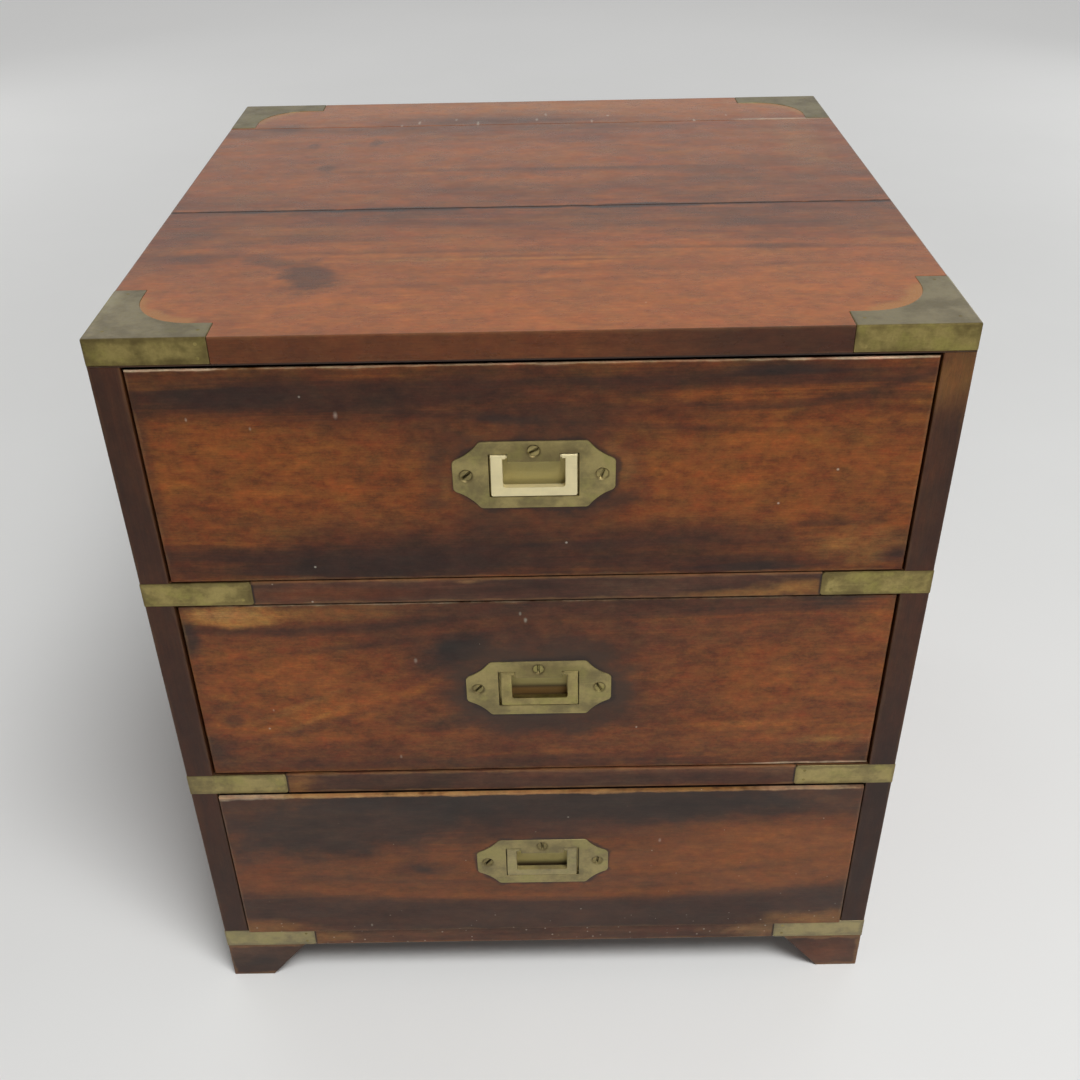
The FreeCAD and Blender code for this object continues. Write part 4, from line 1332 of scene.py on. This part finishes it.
class NIGHTSTAND_OT_drawers(bpy.types.Operator):
    """Finish the drawer fronts and the insides of the drawers."""

    bl_idname = "nightstand.drawers"
    bl_label = "Drawers"

    def execute(self, context):
        wood = context.scene.nightstand_wood
        carcase_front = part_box("upper_rail")[0].y
        plans = {
            "upper": (2.7, (0.30, -0.10), dict(dust=0.0, bias=0.02, mottle=2.4, halo=0.35)),
            "middle": (9.1, (0.17, -0.12), dict(dust=0.05, mottle=2.6, halo=0.92)),
            "lower": (
                5.2, (0.02, -0.16),
                dict(dust=0.13, bias=-0.16, mottle=1.7, specks=0.04, specks_below=LOW_DUST),
            ),
        }
        walls = bare_material("drawer_walls", wood, DEPTH_GRAIN, 0.9)
        backs = bare_material("drawer_backs", wood, FRONT_GRAIN, 0.9)
        floors = bare_material("drawer_bottoms", wood, FLAT_GRAIN, 0.85)
        for name in DRAWERS:
            seed, heart, finish = plans[name]
            node = name + "_drawer_front"
            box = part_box(node)
            front = box[0].y
            material = wood_material(
                node, wood, tones_of(wood, "front"), FRONT_GRAIN, seed, box, heart,
                marks=FRONT_MARKS[name], wear=0.15, contrast=0.95,
                plate_at=middle_of(name + "_handle_plate").z,
                # painted shade with some grime on the front's edges in the gaps
                grime_behind=max(front + wood.arris, carcase_front), **finish,
            )
            dress_board(node, material, wood.arris, wood.seam, lambda edge: is_at(edge, 1, front))
            for hand in HANDS:
                dress_wall(name + "_drawer_" + hand + "_side", walls, wood.arris)
            dress_wall(name + "_drawer_back", backs, wood.arris)
            paint(name + "_drawer_bottom", floors)
        return {"FINISHED"}


CUP_START = 0.0046
CUP_FLOOR = -0.0139
CUP_ROOF = 0.0082
BAIL_SEGMENTS = 3

# Places and sizes on a handle plate, in millimetres from its middle
END_SCREW = 37.2
TOP_SCREW = 14.8
SCREW_SEAT = 4.2
PATCH_RISE = 12.5


def plate_smudges(height, strength):
    """Dirt and painted shade round the screws of a plate at a height, and a brown patch above its bail."""
    places = ((-END_SCREW, height), (0, height + TOP_SCREW), (END_SCREW, height))
    smudges = [mark("smudge", x, z, SCREW_SEAT, SCREW_SEAT, 0.45, soft=0.2, fray=0.2) for x, z in places]
    smudges.append(mark("smudge", 3, height + PATCH_RISE, 24, 8, strength, soft=0.5, fray=0.2))
    return smudges


def cup_stops(brass, name):
    """Colours of a finger cup from its floor to its roof, painted paler than the plate to offset its shade,
    with painted shade low down that is stronger in the lower drawers and a painted reflection in the middle
    one.
    """
    cup = tuple(brass.cup)
    if name == "upper":
        # Painted shade makes the floor of the upper cup darker
        return [(0.0, scaled(cup, 0.7)), (0.3, cup), (1.0, cup)]
    # In the lower cups the dark colour is painted shade behind the bail's bar
    dirt = tuple(brass.cup_dirt)
    if name == "middle":
        # The middle cup has a painted reflection of the wood in amber between its bands of painted shade
        amber = tuple(brass.cup_amber)
        worn = scaled(cup, 0.85)
        return [(0.05, dirt), (0.12, amber), (0.30, amber), (0.43, dirt), (0.62, worn), (1.0, cup)]
    return [(0.0, scaled(dirt, 0.7)), (0.10, dirt), (0.24, scaled(cup, 0.75)), (0.36, cup), (1.0, cup)]


class NIGHTSTAND_OT_handles(bpy.types.Operator):
    """Finish the handle plates, bails and screws."""

    bl_idname = "nightstand.handles"
    bl_label = "Handles"

    def execute(self, context):
        brass = context.scene.nightstand_brass
        # The upper bail is painted bright: partly polish, partly a painted reflection
        bright = tuple(brass.polished)
        bails = {
            "lower": dict(tarnish=0.15, rough=0.36, film=0.15, metallic=0.4, tone=0.9),
            "middle": dict(tarnish=0.15, rough=0.36, film=0.1),
            "upper": dict(
                clean=bright, aged=scaled(bright, 0.92), tarnish=0.04, rough=0.42, grain=0.02, metallic=0.65
            ),
        }
        screws = brass_material("handle_screws", brass, 7.0, tarnish=0.3, film=0.1)
        plates = {"lower": (0.20, 0.15), "middle": (0.14, 0.40), "upper": (0.12, 0.40)}
        for count, name in enumerate(DRAWERS):
            node = name + "_handle_plate"
            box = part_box(node)
            height = middle_of(node).z
            film, smudge = plates[name]
            # Each plate gets a painted highlight along its edges
            plate = brass_material(
                node, brass, 2.0 + count, tarnish=0.25, rough=0.40, box=box, bright_edges=0.12, film=film,
                tone=0.95, smudges=plate_smudges(*millimetres(height), smudge),
                cup_behind=box[0].y + CUP_START, cup_heights=(height + CUP_FLOOR, height + CUP_ROOF),
                cup_stops=cup_stops(brass, name),
            )
            dress_brass(node, plate, brass.edge)
            bail = brass_material(name + "_handle_bail", brass, 5.0 + count, **bails[name])
            dress_brass(name + "_handle_bail", bail, brass.bail_edge, BAIL_SEGMENTS, ROUND_TURN)
            dress_brass(name + "_handle_screws", screws, brass.edge)
        return {"FINISHED"}


class NIGHTSTAND_OT_brass(bpy.types.Operator):
    """Finish the inlaid corners, straps and pins."""

    bl_idname = "nightstand.brass"
    bl_label = "Corners and straps"

    def execute(self, context):
        brass = context.scene.nightstand_brass
        for count, quarter in enumerate(QUARTERS):
            node = quarter + "_top_corner"
            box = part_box(node)
            corner = brass_material(
                node, brass, 1.0 + count, tarnish=0.3, rough=0.42, box=box, dirty_edges=0.35, tone=0.86,
                # dust and a painted sheen on the top face
                dust_above=box[1].z - brass.seam,
            )
            dress_board(node, corner, brass.fold, brass.seam)
        films = {"bottom": 0.30, "lower": 0.12, "upper": 0.03}
        for count, level in enumerate(LEVELS):
            for hand in HANDS:
                node = level + "_" + hand + "_strap"
                strap = brass_material(
                    node, brass, 5.5 + count, tarnish=0.25, rough=0.42, box=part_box(node), dirty_edges=0.45,
                    film=films[level],
                )
                dress_strap(node, strap, brass.edge, brass.end)
        dress_brass("rear_straps", brass_material("rear_straps", brass, 9.0, tarnish=0.25), brass.edge)
        paint("strap_pins", brass_material("strap_pins", brass, 4.0, tarnish=0.7))
        return {"FINISHED"}


FOOT_WEAR = 0.003


class NIGHTSTAND_OT_feet(bpy.types.Operator):
    """Finish the bracket feet."""

    bl_idname = "nightstand.feet"
    bl_label = "Feet"

    def execute(self, context):
        wood = context.scene.nightstand_wood
        for count, quarter in enumerate(QUARTERS):
            for part, order in (("face", FRONT_GRAIN), ("side", DEPTH_GRAIN)):
                node = quarter + "_" + part + "_bracket"
                material = wood_material(
                    node, wood, tones_of(wood, "frame"), order, 3.3 + count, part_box(node), (-0.1, 0.2),
                    marks=FOOT_MARKS.get(quarter + "_" + part, ()), wear=0.3, wear_width=FOOT_WEAR,
                    bias=-0.05, dust=0.08,
                )
                dress_board(node, material, wood.arris, wood.seam)
        return {"FINISHED"}


class NIGHTSTAND_OT_stage(bpy.types.Operator):
    """Set up the floor, the light and the camera."""

    bl_idname = "nightstand.stage"
    bl_label = "Stage"

    def execute(self, context):
        stage = context.scene.nightstand_stage
        make_floor(stage)
        make_light(context.scene, stage)
        make_camera(context.scene, stage)
        return {"FINISHED"}


FLOOR_SIZE = 24.0
GLOW_START = 0.4
GLOW_END = 3.2


def make_floor(stage):
    """A wide pale floor."""
    deselect_all()
    bpy.ops.mesh.primitive_plane_add(size=FLOOR_SIZE, location=NOWHERE)
    floor = bpy.context.object
    floor.name = "floor"
    material, net, shader = new_material("floor")
    cloud = net.noise(net.place(), (3.0, 3.0, 3.0), 3.0)[0]
    away = net.step(net.length(net.place()), GLOW_START, GLOW_END)
    seen = net.node("ShaderNodeLightPath").outputs["Is Camera Ray"]
    net.feed(shader, {
        "Base Color": net.ramp(cloud, [(0.3, scaled(stage.floor, 0.97)), (0.7, stage.floor)]),
        "Roughness": 0.6,
        "Emission Color": net.cover(NOWHERE, stage.glow, away, seen),
        "Emission Strength": 1.0,
    })
    floor.data.materials.append(material)


def make_lamp(name, place, target, size, power):
    """A soft square lamp that faces a point."""
    data = bpy.data.lights.new(name, "AREA")
    data.shape = "SQUARE"
    data.size = size
    data.energy = power
    lamp = bpy.data.objects.new(name, data)
    lamp.location = place
    lamp.rotation_euler = (Vector(target) - Vector(place)).to_track_quat("-Z", "Y").to_euler()
    lamp.visible_camera = False
    bpy.context.scene.collection.objects.link(lamp)


# Where each kind of lamp stands, what it faces and how wide it is
FRONT_LAMP = ((0.65, -1.2, 2.5), (0.0, -0.1, 0.3), 1.0)
REAR_LAMPS = {
    "left": ((-1.9, 1.9, 1.1), (0.0, 0.0, 0.25), 1.4),
    "right": ((1.9, 1.9, 1.1), (0.0, 0.0, 0.25), 1.4),
}


def make_light(scene, stage):
    """Even studio light: a pale surround, a lamp high in front and two low ones behind."""
    make_lamp("front", *FRONT_LAMP, stage.front)
    for hand, plan in REAR_LAMPS.items():
        make_lamp("rear_" + hand, *plan, stage.rear)
    world = bpy.data.worlds.new("studio")
    world.use_nodes = True
    scene.world = world
    net = Wiring(world.node_tree)
    path = net.node("ShaderNodeLightPath").outputs
    seen = net.most(path["Is Camera Ray"], path["Is Glossy Ray"])
    seen = net.most(seen, path["Is Transmission Ray"])
    strength = net.line(seen, 1.0 - stage.fill, stage.fill)
    backdrop = world.node_tree.nodes["Background"].inputs
    net.feed(backdrop, {"Color": opaque(stage.air), "Strength": strength})
    scene.view_settings.view_transform = "Standard"


SENSOR = 36.0
NEAREST = 0.01
FURTHEST = 60.0


def make_camera(scene, stage):
    """The camera where the photographer stood."""
    data = bpy.data.cameras.new("camera")
    data.sensor_width = SENSOR
    data.lens = stage.lens
    data.clip_start = NEAREST
    data.clip_end = FURTHEST
    camera = bpy.data.objects.new("camera", data)
    camera.location = stage.camera_place
    camera.rotation_euler = stage.camera_turn
    scene.collection.objects.link(camera)
    scene.camera = camera


OPERATORS = (
    NIGHTSTAND_OT_top,
    NIGHTSTAND_OT_carcase,
    NIGHTSTAND_OT_drawers,
    NIGHTSTAND_OT_handles,
    NIGHTSTAND_OT_brass,
    NIGHTSTAND_OT_feet,
    NIGHTSTAND_OT_stage,
)


class VIEW3D_PT_nightstand(bpy.types.Panel):
    """Sizes, colours and steps of the nightstand."""

    bl_label = "Nightstand"
    bl_idname = "VIEW3D_PT_nightstand"
    bl_space_type = "VIEW_3D"
    bl_region_type = "UI"
    bl_category = "Nightstand"

    def draw(self, context):
        scene = context.scene
        for settings in (scene.nightstand_wood, scene.nightstand_brass, scene.nightstand_stage):
            box = self.layout.box()
            for key in settings.bl_rna.properties.keys():
                if key not in ("rna_type", "name"):
                    box.prop(settings, key)
        for operator in OPERATORS:
            self.layout.operator(operator.bl_idname)


CLASSES = (NightstandWood, NightstandBrass, NightstandStage) + OPERATORS + (VIEW3D_PT_nightstand,)


def register():
    """Make the settings, operators and panel known."""
    for item in CLASSES:
        bpy.utils.register_class(item)
    bpy.types.Scene.nightstand_wood = bpy.props.PointerProperty(type=NightstandWood)
    bpy.types.Scene.nightstand_brass = bpy.props.PointerProperty(type=NightstandBrass)
    bpy.types.Scene.nightstand_stage = bpy.props.PointerProperty(type=NightstandStage)


def unregister():
    """Take the settings, operators and panel away again."""
    del bpy.types.Scene.nightstand_stage
    del bpy.types.Scene.nightstand_brass
    del bpy.types.Scene.nightstand_wood
    for item in reversed(CLASSES):
        bpy.utils.unregister_class(item)


def main():
    """Finish the whole nightstand."""
    register()
    bpy.ops.nightstand.top()
    bpy.ops.nightstand.carcase()
    bpy.ops.nightstand.drawers()
    bpy.ops.nightstand.handles()
    bpy.ops.nightstand.brass()
    bpy.ops.nightstand.feet()
    bpy.ops.nightstand.stage()


if __name__ == "__main__":
    main()
